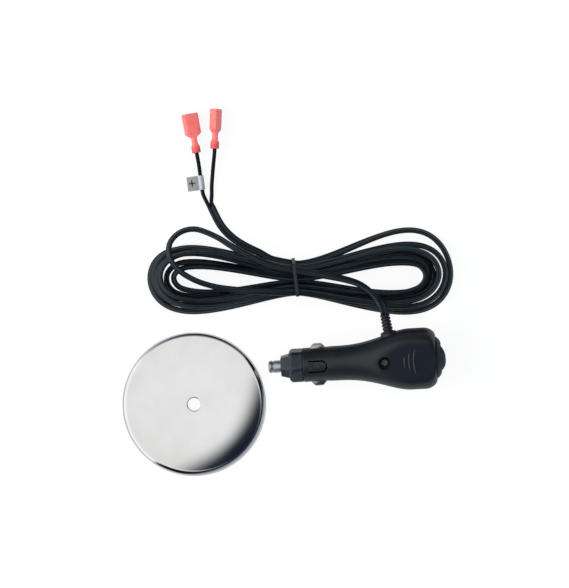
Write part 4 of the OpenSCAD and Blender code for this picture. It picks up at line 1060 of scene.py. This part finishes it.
def rocker_mesh():
    """Rocker domed across and hollow along its tilt."""
    rise = ROCKER_R * tan(ROCKER_SLOPE)

    def face_height(v, w):
        hollow = ROCKER_FACE + tan(ROCKER_SLOPE) * (hypot(w, HOLLOW_R) - HOLLOW_R)
        dome = ROCKER_FACE + rise - ROCKER_DOME_R + sqrt(ROCKER_DOME_R ** 2 - v ** 2)
        swing = sqrt(max(0, ROCKER_SWING_R ** 2 - w ** 2))
        return smooth_min(smooth_min(hollow, dome, DOME_BLEND), swing, SWING_BLEND)

    def face_ring(r, lower):
        return [(face_height(v, w) - lower, v, w) for v, w in circle(r, ROCKER_STEPS)]

    rings = [[(-ROCKER_SKIRT, v, w) for v, w in circle(r, ROCKER_STEPS)] for r in (AXIS_R, ROCKER_R)]
    rings += [face_ring(ROCKER_R - inset, depth) for inset, depth in ROCKER_EDGE]
    for k in range(ROCKER_RIMS):
        rings.append(face_ring((ROCKER_R - ROCKER_LIP) * (1 - k / ROCKER_RIMS) + ROCKER_MID, 0))
    return skin(rings)


AT_ROCKER = Matrix.Translation((PIVOT_U, 0, 0)) @ Matrix.Rotation(ROCKER_TILT, 4, "Y")
pin = [(PIN_HALF - PIN_EDGE, PIN_R), (PIN_HALF, PIN_R - PIN_EDGE), (PIN_HALF, AXIS_R)]
rocker = blank("rocker_key", rocker_mesh())
join(rocker, turned(mirrored(pin), 24, place=Matrix.Rotation(radians(90), 4, "Z")))
rocker.data.transform(AT_ROCKER)
settle(rocker, IN_PLUG, sharp_deg=50)
dress(rocker, ROCKER, "rocker", "rocker_plastic", "switch_rocker")

# Pressed plate

PLATE_R, PLATE_H, SHEET_T, HOLE_R = 43.5, 4.4, 1.0, 3.9
RIM_R, RIM_STEPS, LAND_R = 3.0, 24, 13.0
CROWN_H, CROWN_POWER, CROWN_STEPS = 0.9, 2.6, 40

# (height, reach) of the hole's edge and the land round it, and (height, inset) of the edge on the table
HOLE_EDGE = ((-0.5, 0), (-0.3, 0.07), (-0.1, 0.25), (0, 0.5), (0, 0.6), (0, 1.5), (0, 4), (0, 7.1))
FOOT_EDGE = ((0.15, 0), (0.02, 0.1), (0, 0.25), (0, SHEET_T))


def plate_profile():
    """(height, radius) points round the sheet: top outwards, rim, and back underneath."""
    shelf, corner = PLATE_H - CROWN_H - RIM_R, PLATE_R - RIM_R
    top = [(PLATE_H + height, HOLE_R + reach) for height, reach in HOLE_EDGE]
    under = [(PLATE_H - SHEET_T, HOLE_R)]
    for i in range(CROWN_STEPS + 1):
        s = i / CROWN_STEPS
        r = LAND_R + (corner - LAND_R) * s
        fall = CROWN_H * s ** CROWN_POWER
        top.append((PLATE_H - fall, r))
        under.append((PLATE_H - SHEET_T - fall, r))
    for i in range(1, RIM_STEPS + 1):
        a = radians(90 - 90 * i / RIM_STEPS)
        for side, bend in ((top, RIM_R), (under, RIM_R - SHEET_T)):
            side.append((shelf + bend * sin(a), corner + bend * cos(a)))
    top += [(height, PLATE_R - inset) for height, inset in FOOT_EDGE]
    return top + list(reversed(under))


plate = settle(blank("pressed_plate", turned(plate_profile(), 192, loop=True, place=U_TO_W)), sharp_deg=30)
dress(plate, STEEL, "plate", "plate_steel", "steel_plate")

# Solids that stay as they are

KEPT = {
    "fuse_tube": GLASS, "fuse_caps": NICKEL, "fuse_element": SPRING, "spring_seat": BRASS,
    "housing_screw": SCREW, "switch_blades": BRASS, "inner_leads": LEADS,
    "positive_receptacle": BRASS, "negative_receptacle": BRASS,
}
for name, material in KEPT.items():
    nodes[name].data.materials.clear()
    nodes[name].data.materials.append(material)

# Floor

FLOOR_HALF, FLOOR_CORNERS = 4000, ((-1, -1), (1, -1), (1, 1), (-1, 1))
PAPER_GREY, PAPER_WHITE = (0.4, 0.4, 0.4, 1), (0.95, 0.95, 0.95, 1)
PAPER_GLOW, PAPER_MIRRORED = 0.91, 0.35


def paper():
    """Paper that glows white to the eye, less so in a mirror, and throws a duller light back."""
    material = bpy.data.materials.new("paper")
    material.use_nodes = True
    tree = material.node_tree
    tree.nodes.clear()
    rays = node(tree, "LightPath", {}).outputs
    dull = node(tree, "BsdfDiffuse", {}, PAPER_GREY)
    white = node(tree, "BsdfDiffuse", {}, PAPER_WHITE)
    glow = node(tree, "Emission", {})
    sheet = node(tree, "MixShader", {}, PAPER_GLOW, white, glow)
    shown = node(tree, "Math", {"operation": "MULTIPLY_ADD"},
                 rays["Is Glossy Ray"], PAPER_MIRRORED, rays["Is Transmission Ray"])
    seen = node(tree, "Math", {"operation": "MAXIMUM"}, rays["Is Camera Ray"], shown)
    both = node(tree, "MixShader", {}, seen, dull, sheet)
    node(tree, "OutputMaterial", {}, both)
    return material


table = bmesh.new()
table.faces.new([table.verts.new((x * FLOOR_HALF, y * FLOOR_HALF, 0)) for x, y in FLOOR_CORNERS])
floor = settle(blank("floor", table))
floor.data.materials.append(paper())

# Sky: brighter upwards and on the window's side, darker towards two other headings

SKY_LOW, SKY_TOP = (0.06, 0.066, 0.08, 1), (0.97, 0.985, 1.0, 1)
SKY_GREYS = ((0.2, 0.12), (0.5, 0.42), (0.86, 0.74), (0.975, 0.87))
WINDOW_DEG, WINDOW_FADE, WINDOW_LIGHT = 190, (0.04, 0.6), (1.1, 1.14, 1.2, 1)
FAR_DEG, FAR_FADE, FAR_SHADE = 80, (0.3, 0.75), (0.2, 0.26, 0.34, 1)
DARK_DEG, DARK_FADE, DARK_SHADE = -40, (0.052, 0.138), (0.008, 0.014, 0.028, 1)
HAZE_FADE, HAZE_LIGHT = (0.4, 0.8), (0.34, 0.41, 0.49, 1)

world = bpy.data.worlds.new("studio")
scene.world = world
world.use_nodes = True
tree = world.node_tree
direction = node(tree, "TexCoord", {}).outputs["Generated"]


def towards(heading_deg, fade):
    """Share of the sky towards a heading, smoothly from none to all."""
    heading = radians(heading_deg)
    lean = along(tree, direction, (cos(heading), sin(heading), 0))
    return node(tree, "MapRange", {"interpolation_type": "SMOOTHSTEP"}, lean, *fade)


def blend(kind, share, first, second):
    """Two colours of the sky put together."""
    both = node(tree, "Mix", {"data_type": "RGBA", "blend_type": kind}, Factor=share, A=first, B=second)
    return both.outputs["Result"]


greys = [(position, (level, level, level, 1)) for position, level in SKY_GREYS]
height = node(tree, "SeparateXYZ", {}, direction).outputs["Z"]
light = ramp(tree, height, [(0, SKY_LOW), *greys, (1, SKY_TOP)])
light = blend("MIX", towards(WINDOW_DEG, WINDOW_FADE), light, WINDOW_LIGHT)
light = blend("MULTIPLY", towards(FAR_DEG, FAR_FADE), light, FAR_SHADE)
light = blend("MULTIPLY", towards(DARK_DEG, DARK_FADE), light, DARK_SHADE)
light = blend("ADD", towards(DARK_DEG, HAZE_FADE), light, HAZE_LIGHT)
feed(tree, tree.nodes["Background"].inputs["Color"], light)

# Lamps

LAMP_AIM = Vector((0.05, 0.07, 0))
LAMPS = (
    ("key", 1.6, 34, (1, 1, 1), (-1.55, -0.1, 1.3)),
    ("fill", 1.8, 26, (0.88, 0.95, 1), (1.7, 0.1, 1.35)),
)
for name, size, energy, colour, place in LAMPS:
    lamp = placed(name, bpy.data.lights.new(name, "AREA"))
    lamp.data.size = size
    lamp.data.energy = energy
    lamp.data.color = colour
    lamp.location = place
    lamp.visible_glossy = False
    lamp.rotation_euler = (LAMP_AIM - lamp.location).to_track_quat("-Z", "Y").to_euler()

# Camera straight above the table

FRAME_W_PX, FRAME_H_PX = 569, 588
MM_PER_PX = 0.606
ORIGIN_PX = (194.3, 404.2)
CAMERA_HEIGHT, CAMERA_REACH = 3.0, 100
SENSOR = 36.0

camera = placed("camera", bpy.data.cameras.new("camera"))
camera.location = (
    (FRAME_W_PX / 2 - ORIGIN_PX[0]) * MM_PER_PX * MM,
    (ORIGIN_PX[1] - FRAME_H_PX / 2) * MM_PER_PX * MM,
    CAMERA_HEIGHT,
)
camera.data.sensor_fit = "VERTICAL"
camera.data.sensor_height = SENSOR
camera.data.lens = SENSOR * CAMERA_HEIGHT / (FRAME_H_PX * MM_PER_PX * MM)
camera.data.clip_end = CAMERA_REACH
scene.camera = camera
scene.view_settings.view_transform = "Standard"
